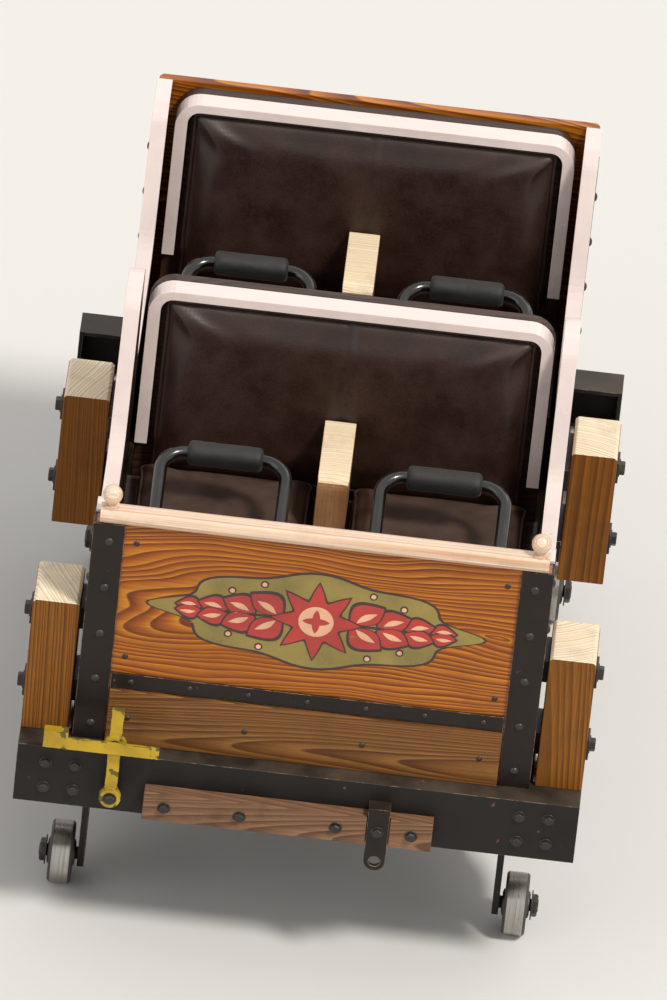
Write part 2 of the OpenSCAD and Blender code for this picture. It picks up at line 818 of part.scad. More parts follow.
// Steel strap let into the buffer board, with an eye for a tow line below it
module tow_strap() {
    eye_drop = 34;
    rise = 26;
    eye_z = deck_z - beam_h - eye_drop;
    face = -beam_out - buffer_t;
    hole_r = 14;
    color("#211d1c")
        difference() {
            union() {
                block([strap_at - strap_half, strap_at + strap_half], [face, face + strap_t],
                      [eye_z - deck_z, buffer_top + rise]);
                block([strap_at - strap_half, strap_at + strap_half], [face, -beam_out],
                      [buffer_top, buffer_top + rise]);
                translate([strap_at, y_at(face + strap_t), eye_z])
                    rotate([90, 0, 0]) cylinder(r = strap_half, h = strap_t);
            }
            translate([strap_at, y_at(face + strap_t) + 1, eye_z])
                rotate([90, 0, 0]) cylinder(r = hole_r, h = strap_t + 2);
        }
}

// Underside

// Steel fin under the axle tubes that the track's brakes grip
module brake_fin() {
    overhang = 60;
    flange = 84;
    top = sill_z - axle_tube;
    lead_in = 70;
    s = [front_axle_s - overhang, rear_axle_s + overhang];
    color("#8c8680")
        translate([0, 0, -deck_z]) {
            block([fin_x - flange / 2, fin_x + flange / 2], s, [top - fin_t, top]);
            translate([0, 0, deck_z]) across(fin_x - fin_t / 2, fin_x + fin_t / 2)
                polygon([[s[0], top - deck_z - fin_t + 1], [s[1], top - deck_z - fin_t + 1],
                         [s[1] - lead_in, top - deck_z - fin_h], [s[0] + lead_in, top - deck_z - fin_h]]);
        }
}

// Dog on a cross pin that trails behind it: straight back, with a square or a pointed toe
module dog(dog_s, reach, drop, toe) {
    z = dog_pin_z - deck_z;
    r = 26;
    neck_s = 6;
    neck_z = 24;
    crown_s = 16;
    crown_z = 18;
    color("#6e655e")
        difference() {
            union() {
                translate([-dog_t / 2, y_at(dog_s), dog_pin_z]) rotate([0, 90, 0]) cylinder(r = r, h = dog_t);
                across(-dog_t / 2, dog_t / 2)
                    polygon([[dog_s - neck_s, z - neck_z], [dog_s + crown_s, z + crown_z],
                             [dog_s + reach, z - drop + toe], [dog_s + reach, z - drop],
                             [dog_s + reach - toe, z - drop]]);
            }
            translate([-dog_t, y_at(dog_s), dog_pin_z])
                rotate([0, 90, 0]) cylinder(r = hinge_r + run_gap, h = 2 * dog_t);
        }
}

module chain_dog() {
    reach = 150;
    drop = 150;
    toe = 46;
    dog(chain_dog_s, reach, drop, toe);
}
module rollback_dog() {
    reach = 170;
    drop = 160;
    toe = 24;
    dog(rollback_dog_s, reach, drop, toe);
}

// Bar to the next car, with an eye at each end
module drawbar() {
    bar_w = 50;
    bar_t = 36;
    eye_t = 40;
    front_eye_r = eye_r - 8;
    mid = deck_z - beam_h / 2;
    color("#2b2523")
        difference() {
            union() {
                translate([0, y_at(hitch_s), mid - bar_t / 2]) cylinder(r = front_eye_r, h = bar_t);
                translate([0, y_at(hitch_s + drawbar_l), mid - eye_t / 2]) cylinder(r = eye_r, h = eye_t);
                translate([-bar_w / 2, y_at(hitch_s), mid - bar_t / 2]) cube([bar_w, drawbar_l, bar_t]);
            }
            translate([0, y_at(hitch_s), mid - eye_t]) cylinder(r = hitch_pin_r + run_gap, h = 2 * eye_t);
            translate([0, y_at(hitch_s + drawbar_l), mid - eye_t]) cylinder(r = coupling_r, h = 2 * eye_t);
        }
}

// Wheels

// Disc wheel about Z: proud hub, thin web and a rim with a chamfered tread
module wheel(d, w, bore, hub_r, rim_t) {
    r = d / 2;
    h = w / 2;
    web = w * 0.19;
    edge = 5;
    draft = 4;
    rotate_extrude($fn = 96)
        polygon([
            [bore, -h - hub_proud], [hub_r, -h - hub_proud], [hub_r + draft, -web],
            [r - rim_t - draft, -web], [r - rim_t, -h], [r - edge, -h], [r, edge - h],
            [r, h - edge], [r - edge, h], [r - rim_t, h], [r - rim_t - draft, web],
            [hub_r + draft, web], [hub_r, h + hub_proud], [bore, h + hub_proud]]);
}

module road_wheel(end, side) {
    hub_r = 46;
    rim_t = 30;
    color("#3a3734")
        translate([side * strap_x, y_at(axle_s(end)), axle_z]) rotate([0, 90, 0])
            wheel(road_d, road_w, road_pin_r + run_gap, hub_r, rim_t);
}

module guide_wheel(end, side) {
    hub_r = 34;
    rim_t = 22;
    color("#3a3734")
        translate([side * guide_x, y_at(axle_s(end) + inboard(end) * guide_lead), guide_z])
            wheel(guide_d, guide_w, small_pin_r + run_gap, hub_r, rim_t);
}

module upstop_wheel(end, side) {
    hub_r = 32;
    rim_t = 20;
    color("#3a3734")
        translate([side * upstop_x, y_at(axle_s(end)), upstop_z]) rotate([0, 90, 0])
            wheel(upstop_d, upstop_w, small_pin_r + run_gap, hub_r, rim_t);
}

side_sills();
end_beams();
axle_tubes();
wheel_carriers();
cross_members();
floor_boards();
side_panels();
side_trims();
front_panel();
front_lower_board();
cap_rail();
rear_panel();
body_irons();
stake_posts();
benches();
seat_cushions();
back_boards();
back_pads();
back_trims();
seat_dividers();
bar_stands();
release_pedal();
buffer_board();
tow_strap();
brake_fin();
drawbar();
chain_dog();
rollback_dog();
lap_bar(front, left);  // lap_bar_front_left
lap_bar(front, right);  // lap_bar_front_right
lap_bar(rear, left);  // lap_bar_rear_left
lap_bar(rear, right);  // lap_bar_rear_right
lap_sleeves(front, left);  // lap_sleeves_front_left
lap_sleeves(front, right);  // lap_sleeves_front_right
lap_sleeves(rear, left);  // lap_sleeves_rear_left
lap_sleeves(rear, right);  // lap_sleeves_rear_right
road_wheel(front, left);  // road_wheel_front_left
road_wheel(front, right);  // road_wheel_front_right
road_wheel(rear, left);  // road_wheel_rear_left
road_wheel(rear, right);  // road_wheel_rear_right
guide_wheel(front, left);  // guide_wheel_front_left
guide_wheel(front, right);  // guide_wheel_front_right
guide_wheel(rear, left);  // guide_wheel_rear_left
guide_wheel(rear, right);  // guide_wheel_rear_right
upstop_wheel(front, left);  // upstop_wheel_front_left
upstop_wheel(front, right);  // upstop_wheel_front_right
upstop_wheel(rear, left);  // upstop_wheel_rear_left
upstop_wheel(rear, right);  // upstop_wheel_rear_right
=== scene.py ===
"""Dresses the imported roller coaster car: its finishes, padding, fasteners, painted ornament and stage.

Everything is in metres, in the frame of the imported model. A place is mostly given as x, station and height:
the station is the distance behind the front panel's face, and the height is above the deck.
"""

import json
import math
from collections import namedtuple
from itertools import product

import bmesh
import bpy
from mathutils import Matrix, Vector, noise
from mathutils.bvhtree import BVHTree

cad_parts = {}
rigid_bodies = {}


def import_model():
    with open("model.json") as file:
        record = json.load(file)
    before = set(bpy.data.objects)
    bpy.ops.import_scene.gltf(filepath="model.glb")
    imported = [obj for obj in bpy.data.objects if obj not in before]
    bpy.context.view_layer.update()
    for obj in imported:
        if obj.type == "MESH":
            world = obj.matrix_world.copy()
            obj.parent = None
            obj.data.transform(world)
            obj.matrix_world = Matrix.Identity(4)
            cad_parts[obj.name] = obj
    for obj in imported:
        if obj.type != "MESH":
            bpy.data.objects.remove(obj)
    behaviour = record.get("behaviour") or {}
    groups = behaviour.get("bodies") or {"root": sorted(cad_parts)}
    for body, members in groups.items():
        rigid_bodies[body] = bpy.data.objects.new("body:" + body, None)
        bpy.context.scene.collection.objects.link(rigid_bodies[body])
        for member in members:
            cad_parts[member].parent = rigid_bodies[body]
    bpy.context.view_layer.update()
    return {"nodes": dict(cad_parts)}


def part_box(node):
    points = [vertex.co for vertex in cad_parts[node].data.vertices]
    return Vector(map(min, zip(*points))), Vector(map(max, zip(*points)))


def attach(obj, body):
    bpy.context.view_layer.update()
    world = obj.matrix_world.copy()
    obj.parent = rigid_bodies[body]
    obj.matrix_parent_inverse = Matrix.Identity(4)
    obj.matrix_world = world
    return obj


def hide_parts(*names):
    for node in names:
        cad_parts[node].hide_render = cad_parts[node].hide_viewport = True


bl_info = {
    "name": "Roller Coaster Car",
    "version": (1, 0, 0),
    "blender": (4, 5, 0),
    "location": "View3D > Sidebar > Coaster Car",
    "description": "Finishes, padding, fasteners and stage for a two-bench roller coaster car",
    "category": "Object",
}

for start_object in list(bpy.data.objects):
    bpy.data.objects.remove(start_object)
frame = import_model()

CAR = "car"
SIDES = {"left": 1, "right": -1}
ENDS = ("front", "rear")
X, Y, Z = range(3)
OUT = {
    "left": (1, 0, 0),
    "right": (-1, 0, 0),
    "nose": (0, -1, 0),
    "tail": (0, 1, 0),
    "up": (0, 0, 1),
    "down": (0, 0, -1),
}


# Places on the car, read from the frame

NOSE_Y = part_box("front_panel")[0].y
DECK_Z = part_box("floor_boards")[0].z


def at(x, station, height):
    """A point from its x, its station and its height above the deck."""
    return Vector((x, NOSE_Y + station, DECK_Z + height))


def middle(node):
    """The middle of a CAD node's box."""
    low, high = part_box(node)
    return (low + high) / 2


def reach(node, side):
    """How far a CAD node reaches towards a side of the car: its x, its station or its height there."""
    low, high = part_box(node)
    faces = {
        "left": high.x,
        "right": low.x,
        "nose": low.y - NOSE_Y,
        "tail": high.y - NOSE_Y,
        "up": high.z - DECK_Z,
        "down": low.z - DECK_Z,
    }
    return faces[side]


# how far the seats of each row lie behind those of the front row
ROWS = {"front": 0.0, "rear": (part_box("lap_bar_rear_left")[0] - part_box("lap_bar_front_left")[0]).y}
# the stations of the two axle lines, to a tenth of a millimetre
AXLES = {end: round(middle(f"road_wheel_{end}_left").y - NOSE_Y, 4) for end in ENDS}
SIDE_X = reach("side_panels", "left")
FLOOR_TOP = reach("floor_boards", "up")
TAIL = reach("rear_panel", "tail")
# the seat backs lean backwards by this angle
LEAN = math.radians(7.9)


# Settings

def linear(code):
    """A linear colour from an sRGB hex value. A colour that is linear already stays as it is."""
    if not isinstance(code, str):
        return tuple(code)
    channels = [int(code[i:i + 2], 16) / 255 for i in (1, 3, 5)]
    return tuple(c / 12.92 if c <= 0.04045 else ((c + 0.055) / 1.055) ** 2.4 for c in channels)


def tint(name, code, description):
    """A colour that a user can change, from its sRGB hex value."""
    return bpy.props.FloatVectorProperty(
        name=name, description=description, subtype="COLOR", size=3, min=0, max=1, default=linear(code))


def length(name, default, description):
    """A length that a user can change."""
    return bpy.props.FloatProperty(
        name=name, description=description, subtype="DISTANCE", unit="LENGTH", min=0, precision=4,
        default=default)


def angle(name, degrees, description):
    """An angle that a user can change, from its degrees."""
    return bpy.props.FloatProperty(
        name=name, description=description, subtype="ANGLE", unit="ROTATION", default=math.radians(degrees))


class FinishSettings(bpy.types.PropertyGroup):
    """Colours of the car's finishes"""

    varnish_light: tint("Varnish, light", "#cf831e", "Early wood of the varnished panel")
    varnish_dark: tint("Varnish, dark", "#703104", "Late wood of the varnished panel")
    post_wood: tint("Post wood", "#865110", "Faces of the stake posts")
    vinyl: tint("Vinyl", "#2f1a12", "Cushions and back pads")
    side_paint: tint("Side paint", "#84625a", "Outer faces of the side panels")
    inside_paint: tint("Inside paint", "#57403a", "Inner faces of the side panels")
    trim: tint("Trim", "#ead8d2", "Mouldings on the side panels and seat backs")
    iron: tint("Iron paint", "#1e1510", "Corner angles and straps")
    frame_paint: tint("Frame paint", "#161210", "Beams, sills and wheel carriers")
    pedal_paint: tint("Pedal paint", "#bf9b16", "Release pedal")
    ornament_red: tint("Ornament, red", "#b3281f", "Painted star and leaves")
    ornament_ground: tint("Ornament, ground", "#8f7c34", "Painted ground behind the star and leaves")


class PartSettings(bpy.types.PropertyGroup):
    """Sizes of the pieces that the scene adds"""

    board_edge: length("Board edge", 0.0025, "Radius of the eased edges of boards")
    steel_edge: length("Steel edge", 0.0012, "Radius of the edges of plates and bars")
    coach_head: length("Coach bolt head", 0.011, "Radius of a coach bolt's round head")
    hex_head: length("Hexagon head", 0.012, "Radius of a hexagon head over its corners")
    screw_head: length("Screw head", 0.006, "Radius of a wood screw's head")
    post_nut: length("Post nut", 0.017, "Radius of the nuts on the stake posts, over their corners")
    post_washer: length("Post washer", 0.056, "Width of the square washers under the nuts of the posts")
    hinge_head: length("Hinge pin head", 0.015, "Radius of the heads of the lap bars' hinge pins")
    foot_bolt: length("Foot bolt", 0.008, "Radius of the bolts that hold the lap bars' stands")
    road_nut: length("Road wheel nut", 0.034, "Radius of the nut on a road wheel's stub axle")
    small_nut: length("Small wheel nut", 0.028, "Radius of the nut on a guide or up-stop wheel's stub axle")
    pedal_bolt: length("Pedal bolt", 0.013, "Radius of the bolts in the release pedal's hubs")
    piping: length("Piping", 0.0045, "Radius of the piping on cushions and pads")
    cushion_voxel: length("Cushion voxel", 0.008, "Grid of the cushions before they are blown up")
    pad_voxel: length("Pad voxel", 0.010, "Grid of the back pads before they are blown up")
    weld: length("Weld bead", 0.0045, "Radius of a weld bead")
    ornament_width: length("Ornament width", 0.68, "Width of the painted ornament")
    ornament_height: length("Ornament height", 0.40, "Height of its middle above the deck")


class StageSettings(bpy.types.PropertyGroup):
    """The camera and the floor"""

    azimuth: angle("Azimuth", 0.5, "Camera's turn round the car, 0 from straight ahead")
    elevation: angle("Elevation", 33, "Camera's height over the deck")
    roll: angle("Roll", 6.3, "Camera's tilt about its own line of sight")
    distance: length("Distance", 45, "From the camera to the car")
    view_height: length("View height", 2.42, "Height of the view at the car")
    aim_height: length("Aim height", 0.585, "Height over the floor that the camera looks at")
    floor_colour: tint("Floor", "#dcdad6", "Pale studio floor")


# Mesh helpers

# how deep heads and washers sink into what they lie on
SUNK = 0.0005


def shape_from(bm, name="shape"):
    """A mesh from a bmesh, with its doubles merged and its faces turned outwards."""
    bmesh.ops.remove_doubles(bm, verts=bm.verts, dist=1e-6)
    bmesh.ops.recalc_face_normals(bm, faces=bm.faces)
    mesh = bpy.data.meshes.new(name)
    bm.to_mesh(mesh)
    bm.free()
    return mesh


def lathe(profile, steps=20, ring=False):
    """A mesh spun about Z from (radius, height) pairs. It starts and ends on the axis, or it is a ring."""
    bm = bmesh.new()
    line = [bm.verts.new((radius, 0, height)) for radius, height in profile]
    edges = [bm.edges.new(pair) for pair in zip(line, line[1:])]
    if ring:
        edges.append(bm.edges.new((line[-1], line[0])))
    bmesh.ops.spin(bm, geom=line + edges, cent=(0, 0, 0), axis=(0, 0, 1), angle=math.tau, steps=steps,
                   use_merge=True)
    return shape_from(bm)


def bar(size, edge):
    """A block mesh about the origin, with rounded edges."""
    bm = bmesh.new()
    bmesh.ops.create_cube(bm, size=1)
    bmesh.ops.scale(bm, vec=size, verts=bm.verts)
    bmesh.ops.bevel(bm, geom=bm.edges, offset=edge, segments=2, profile=0.5, affect="EDGES", material=-1)
    return shape_from(bm)


def coach_head(radius, height):
    """Domed head of a coach bolt."""
    return lathe([(0, height), (radius * 0.45, height * 0.92), (radius * 0.8, height * 0.6),
                  (radius, height * 0.12), (radius, -SUNK), (0, -SUNK)])


def hex_head(radius, height):
    """Hexagon head or nut with a chamfered top, on a round washer."""
    washer_t = height * 0.2
    washer_r = radius * 1.3
    bm = bmesh.new()
    bm.from_mesh(lathe([(0, washer_t), (radius * 1.25, washer_t), (washer_r, washer_t * 0.6),
                        (washer_r, -SUNK), (0, -SUNK)], steps=24))
    prism = bmesh.ops.create_cone(bm, cap_ends=True, segments=6, radius1=radius, radius2=radius, depth=height,
                                  matrix=Matrix.Translation((0, 0, washer_t + height / 2)))
    top = [e for e in bm.edges if all(v in prism["verts"] and v.co.z > height for v in e.verts)]
    bmesh.ops.bevel(bm, geom=top, offset=radius * 0.12, segments=1, profile=0.5, affect="EDGES", material=-1)
    return shape_from(bm)


def screw_head(radius):
    """A wood screw's head, a little proud of the wood and marked with a cross."""
    proud = 0.0008
    bm = bmesh.new()
    bm.from_mesh(lathe([(0, 0.0006), (radius * 0.85, proud), (radius, 0.0002), (radius, -SUNK), (0, -SUNK)],
                       steps=14))
    for turn in (0, math.pi / 2):
        slot = bmesh.ops.create_cube(bm, size=1)["verts"]
        bmesh.ops.scale(bm, vec=(radius * 1.1, radius * 0.22, proud / 2), verts=slot)
        bmesh.ops.rotate(bm, matrix=Matrix.Rotation(turn, 3, "Z"), verts=slot)
        bmesh.ops.translate(bm, vec=(0, 0, proud), verts=slot)
    return shape_from(bm)


def stamp(bm, shape, place, facing, turn=0.0):
    """Adds a copy of a mesh at a place, with its Z axis turned to a direction."""
    known = len(bm.verts)
    bm.from_mesh(shape)
    bm.verts.ensure_lookup_table()
    face = Vector(facing).to_track_quat("Z", "Y").to_matrix().to_4x4()
    bmesh.ops.transform(bm, verts=bm.verts[known:],
                        matrix=Matrix.Translation(place) @ face @ Matrix.Rotation(turn, 4, "Z"))


def tube(bm, points, radius, closed, resolution, ripple=0.0):
    """Adds a round tube along a line of points, by a curve's bevel. A ripple swells each second point."""
    curve = bpy.data.curves.new("line", "CURVE")
    curve.dimensions = "3D"
    curve.bevel_depth = radius
    curve.bevel_resolution = resolution
    curve.use_fill_caps = not closed
    spline = curve.splines.new("POLY")
    spline.points.add(len(points) - 1)
    spline.use_cyclic_u = closed
    for i, (point, place) in enumerate(zip(spline.points, points)):
        point.co = (*place, 1)
        point.radius = 1 + ripple * (i % 2)
    holder = bpy.data.objects.new("line", curve)
    mesh = bpy.data.meshes.new_from_object(holder)
    bm.from_mesh(mesh)
    bpy.data.objects.remove(holder)
    bpy.data.curves.remove(curve)
    bpy.data.meshes.remove(mesh)


def spread(low, high, count):
    """Evenly spaced values from low to high."""
    return [low + (high - low) * i / (count - 1) for i in range(count)]


def piece(name, bm, finish, body=CAR, crease=35):
    """Makes a piece from a bmesh, smooth up to the crease angle, that rides on a body."""
    mesh = shape_from(bm, name)
    mesh.shade_smooth()
    mesh.set_sharp_from_angle(angle=math.radians(crease))
    mesh.materials.append(bpy.data.materials[finish])
    obj = bpy.data.objects.new(name, mesh)
    bpy.context.scene.collection.objects.link(obj)
    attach(obj, body)
    return obj


def dress(node, finish, edge=0.0, edge_finish=None):
    """Gives a CAD node its finish and eases its edges, which may show a finish of their own."""
    obj = frame["nodes"][node]
    obj.material_slots[0].material = bpy.data.materials[finish]
    if not edge:
        return
    merge = obj.modifiers.new("merge", "WELD")
    merge.merge_threshold = 1e-5
    flat = obj.modifiers.new("flat", "DECIMATE")
    flat.decimate_type = "DISSOLVE"
    flat.angle_limit = math.radians(0.5)
    ease = obj.modifiers.new("ease", "BEVEL")
    ease.width = edge
    ease.segments = 2
    ease.limit_method = "ANGLE"
    ease.angle_limit = math.radians(40)
    ease.use_clamp_overlap = False
    ease.harden_normals = True
    if edge_finish:
        obj.data.materials.append(bpy.data.materials[edge_finish])
        ease.material = 1


# Finishes

def join(tree, node, links):
    """Links sockets to a node's inputs, or sets their values. links is a list of them in order, or a dict by
    the inputs' names or numbers."""
    for key, value in links.items() if isinstance(links, dict) else enumerate(links):
        if isinstance(value, bpy.types.NodeSocket):
            tree.links.new(value, node.inputs[key])
        else:
            node.inputs[key].default_value = value


def add(tree, kind, links=(), stops=(), out=0, **settings):
    """Adds a shader node with its settings, its links and its colour stops, and gives one of its outputs."""
    node = tree.nodes.new("ShaderNode" + kind)
    for name, value in settings.items():
        setattr(node, name, value)
    join(tree, node, links)
    for i, (position, tone) in enumerate(stops):
        ramp = node.color_ramp.elements
        element = ramp[i] if i < 2 else ramp.new(position)
        element.position = position
        element.color = (*tone, 1)
    return node.outputs[out]


def blank(name):
    """A new material's tree, its shader and its Object coordinates."""
    material = bpy.data.materials.new(name)
    material.use_nodes = True
    tree = material.node_tree
    return tree, tree.nodes["Principled BSDF"], add(tree, "TexCoord", out="Object")


def shaded(tone, share):
    """A colour made darker or lighter by a share."""
    return tuple(min(1.0, c * share) for c in tone)


def wood(name, along, tones, spacing, rough, pith, tilt=(0, 0, 0), drift=0.7, wander=0.03, coat=0.0,
         relief=0.0004, soil="#3a2a1c", soil_share=0.35, end=None):
    """Sawn timber. The growth rings are tubes round the pith of the log, and the board's faces cut them, so
    they show as long lines, as arches where the face runs near the pith, and as arcs on the ends. The rings
    wander as a tree does, and fine fibres run along them.

    along is the axis of the grain and spacing the distance between rings. pith is a point on the log's middle
    line and tilt leans that line. tones are light, middle and dark. drift is how fast the rings change along
    the board and wander how far. end gives the two tones of the faces that look up: their end grain rings,
    painted pale as a highlight for the light that falls on the tops."""
    tree, shader, spot = blank(name)
    light, mid, dark = map(linear, tones)
    log = add(tree, "Mapping", {"Vector": spot, "Location": [-c for c in pith],
                                "Rotation": [math.radians(t) for t in tilt]})
    # the rings sway over about 300 mm across the grain, and more slowly along it
    stretch = [3.4] * 3
    stretch[along] = drift
    sway_spot = add(tree, "Mapping", {"Vector": spot, "Scale": stretch})
    sway = add(tree, "TexNoise", {"Vector": sway_spot, "Scale": 1.0, "Detail": 2.5, "Roughness": 0.42},
               out="Color")
    centred = add(tree, "VectorMath", [sway, (0.5, 0.5, 0.5)], operation="SUBTRACT")
    shift = add(tree, "VectorMath", {0: centred, "Scale": wander * 4}, operation="SCALE")
    swayed = add(tree, "VectorMath", [log, shift], operation="ADD")
    across = [1.0] * 3
    across[along] = 0.0
    flat = add(tree, "VectorMath", [swayed, across], operation="MULTIPLY")
    from_pith = add(tree, "VectorMath", [flat], operation="LENGTH", out="Value")
    count = add(tree, "Math", [from_pith, 1 / spacing], operation="MULTIPLY")
    # good and bad years: the rings are up to a third wider or narrower
    years = add(tree, "TexNoise", {"W": count, "Scale": 0.35, "Detail": 1.0}, noise_dimensions="1D")
    year = add(tree, "Math", [years, 2.2, count], operation="MULTIPLY_ADD")
    ring = add(tree, "Math", [year], operation="FRACT")
    rings = add(tree, "ValToRGB", [ring],
                stops=((0.0, light), (1.0, light), (0.42, mid), (0.80, dark), (0.93, dark)))
    # fibres of 4 mm, coarser than real ones so that they show
    fine = [260.0] * 3
    fine[along] = 5.0
    fibre_spot = add(tree, "Mapping", {"Vector": spot, "Scale": fine})
    fibre = add(tree, "TexNoise", {"Vector": fibre_spot, "Scale": 1.0, "Detail": 4.0, "Roughness": 0.6})
    streak = add(tree, "MapRange", [fibre, 0.3, 0.7, 0.7, 1.16])
    streaked = add(tree, "Mix", {0: 1.0, 6: rings, 7: streak}, out=2, data_type="RGBA", blend_type="MULTIPLY")
    # the timber's tone drifts from place to place
    patch = add(tree, "TexNoise", {"Vector": sway_spot, "Scale": 1.9, "Detail": 1.5})
    patch_share = add(tree, "MapRange", [patch, 0.4, 0.68, 0.0, 0.5])
    patched = add(tree, "Mix", {0: patch_share, 6: streaked, 7: (*shaded(mid, 0.85), 1)}, out=2,
                  data_type="RGBA")
    if end:
        # painted highlight: faces that look up take pale end grain tones, which stand in for the light on the
        # tops of the posts and blocks
        pale, deep = map(linear, end)
        up = add(tree, "SeparateXYZ", [spot.node.outputs["Normal"]], out=2)
        lit_end_grain = add(tree, "ValToRGB", [ring], stops=((0.3, pale), (0.9, deep)))
        lit_top_mask = add(tree, "Math", [up, 0.6], operation="GREATER_THAN")
        patched = add(tree, "Mix", {0: lit_top_mask, 6: patched, 7: lit_end_grain}, out=2, data_type="RGBA")
    # hands and weather leave smudges about 110 mm wide
    dirt = add(tree, "TexNoise", {"Vector": spot, "Scale": 9.0, "Detail": 6.0, "Roughness": 0.7})
    dirt_share = add(tree, "MapRange", [dirt, 0.5, 0.78, 0.0, soil_share])
    soiled = add(tree, "Mix", {0: dirt_share, 6: patched, 7: (*linear(soil), 1)}, out=2, data_type="RGBA")
    gloss = add(tree, "MapRange", [fibre, 0.3, 0.7, rough + 0.08, rough - 0.06])
    # the hard late wood of each ring stands proud, and the fibres lie on it
    height = add(tree, "Math", [ring, 0.25, fibre], operation="MULTIPLY_ADD")
    bump = add(tree, "Bump", {"Height": height, "Strength": 0.6, "Distance": relief})
    join(tree, shader, {"Base Color": soiled, "Roughness": gloss, "Normal": bump, "Coat Weight": coat,
                        "Coat Roughness": 0.12, "Specular IOR Level": 0.3})


def paint(name, tone, under, chipped, rough, dust_share=0.35, under_metal=0.0, chip_size=0.03, coat=0.0,
          dust="#7a6a58", stretch=(1, 1, 1), inside=None, mottle=0.28, shine=0.5, ragged=0.68,
          relief=0.0004):
    """Brushed or sprayed paint. Chips bare what is under it, dust settles on faces that look up, and soft
    patches of wear change its gloss.

    chipped is the share of the surface that has lost its paint, chip_size the width of a chip and ragged how
    torn its edge is. under is the colour below the paint and under_metal how far it is metal. mottle is how
    much the tone varies. inside gives a half width and the tone within it, for a panel in two colours."""
    tree, shader, spot = blank(name)
    tone, under = linear(tone), linear(under)
    flake_spot = add(tree, "Mapping", {"Vector": spot, "Scale": stretch})
    flake = add(tree, "TexNoise", {"Vector": flake_spot, "Scale": 1 / chip_size, "Detail": 9.0,
                                   "Roughness": ragged})
    # the noise lies between 0.3 and 0.7, so the threshold slides down that range as more paint is lost
    edge = 0.70 - 0.34 * chipped
    chip = add(tree, "MapRange", [flake, edge, edge + 0.02])
    # patches of wear about 140 mm wide
    cloud = add(tree, "TexNoise", {"Vector": spot, "Scale": 7.0, "Detail": 5.0, "Roughness": 0.6})
    shade = add(tree, "ValToRGB", [cloud],
                stops=((0.35, shaded(tone, 1 - mottle)), (0.68, shaded(tone, 1 + mottle * 0.7))))
    if inside:
        half_width, inner_tone = inside
        off = add(tree, "Math", [add(tree, "SeparateXYZ", [spot])], operation="ABSOLUTE")
        within = add(tree, "Math", [off, half_width], operation="LESS_THAN")
        shade = add(tree, "Mix", {0: within, 6: shade, 7: (*inner_tone, 1)}, out=2, data_type="RGBA")
    bare = add(tree, "ValToRGB", [flake], stops=((0.4, shaded(under, 0.6)), (0.7, shaded(under, 1.25))))
    painted = add(tree, "Mix", {0: chip, 6: shade, 7: bare}, out=2, data_type="RGBA")
    up = add(tree, "SeparateXYZ", [spot.node.outputs["Normal"]], out=2)
    settled = add(tree, "MapRange", [up, 0.3, 1.0, 0.06, 1.0])
    drift = add(tree, "MapRange", [cloud, 0.35, 0.7, 0.2 * dust_share, dust_share])
    dusty = add(tree, "Math", [settled, drift], operation="MULTIPLY")
    coloured = add(tree, "Mix", {0: dusty, 6: painted, 7: (*linear(dust), 1)}, out=2, data_type="RGBA")
    gloss = add(tree, "MapRange", [cloud, 0.3, 0.7, rough - 0.08, rough + 0.14])
    rougher = add(tree, "Math", [chip, 0.15, gloss], operation="MULTIPLY_ADD")
    metal = add(tree, "Math", [chip, under_metal], operation="MULTIPLY")
    # paint stands over its chips, and has an orange peel of 6 mm, coarser than a real one so that it shows
    peel = add(tree, "TexNoise", {"Vector": spot, "Scale": 160.0, "Detail": 2.0})
    height = add(tree, "Math", [chip, -0.8, peel], operation="MULTIPLY_ADD")
    bump = add(tree, "Bump", {"Height": height, "Strength": 0.5, "Distance": relief})
    join(tree, shader, {"Base Color": coloured, "Roughness": rougher, "Metallic": metal, "Normal": bump,
                        "Coat Weight": coat, "Coat Roughness": 0.1, "Specular IOR Level": shine})


def worn_steel(name, tone, rough, scratch, stain_share=0.3):
    """Bare steel rubbed bright in use. scratch gives the lines per metre along each axis, so they run along
    the axes with the fewest, and rust stains stay where nothing rubs."""
    tree, shader, spot = blank(name)
    tone = linear(tone)
    lines_spot = add(tree, "Mapping", {"Vector": spot, "Scale": scratch})
    lines = add(tree, "TexNoise", {"Vector": lines_spot, "Scale": 1.0, "Detail": 4.0, "Roughness": 0.65})
    bright = add(tree, "ValToRGB", [lines], stops=((0.32, shaded(tone, 0.62)), (0.7, shaded(tone, 1.2))))
    # rust stains about 45 mm wide
    cloud = add(tree, "TexNoise", {"Vector": spot, "Scale": 22.0, "Detail": 7.0, "Roughness": 0.7})
    rust = add(tree, "MapRange", [cloud, 0.5, 0.66, 0.0, stain_share])
    coloured = add(tree, "Mix", {0: rust, 6: bright, 7: (*linear("#4a3426"), 1)}, out=2, data_type="RGBA")
    gloss = add(tree, "MapRange", [lines, 0.3, 0.7, rough + 0.12, rough - 0.06])
    rougher = add(tree, "Math", [rust, 0.5, gloss], operation="MULTIPLY_ADD")
    metal = add(tree, "Math", [1.0, rust], operation="SUBTRACT")
    bump = add(tree, "Bump", {"Height": lines, "Strength": 0.4, "Distance": 0.0003})
    join(tree, shader, {"Base Color": coloured, "Roughness": rougher, "Metallic": metal, "Normal": bump})


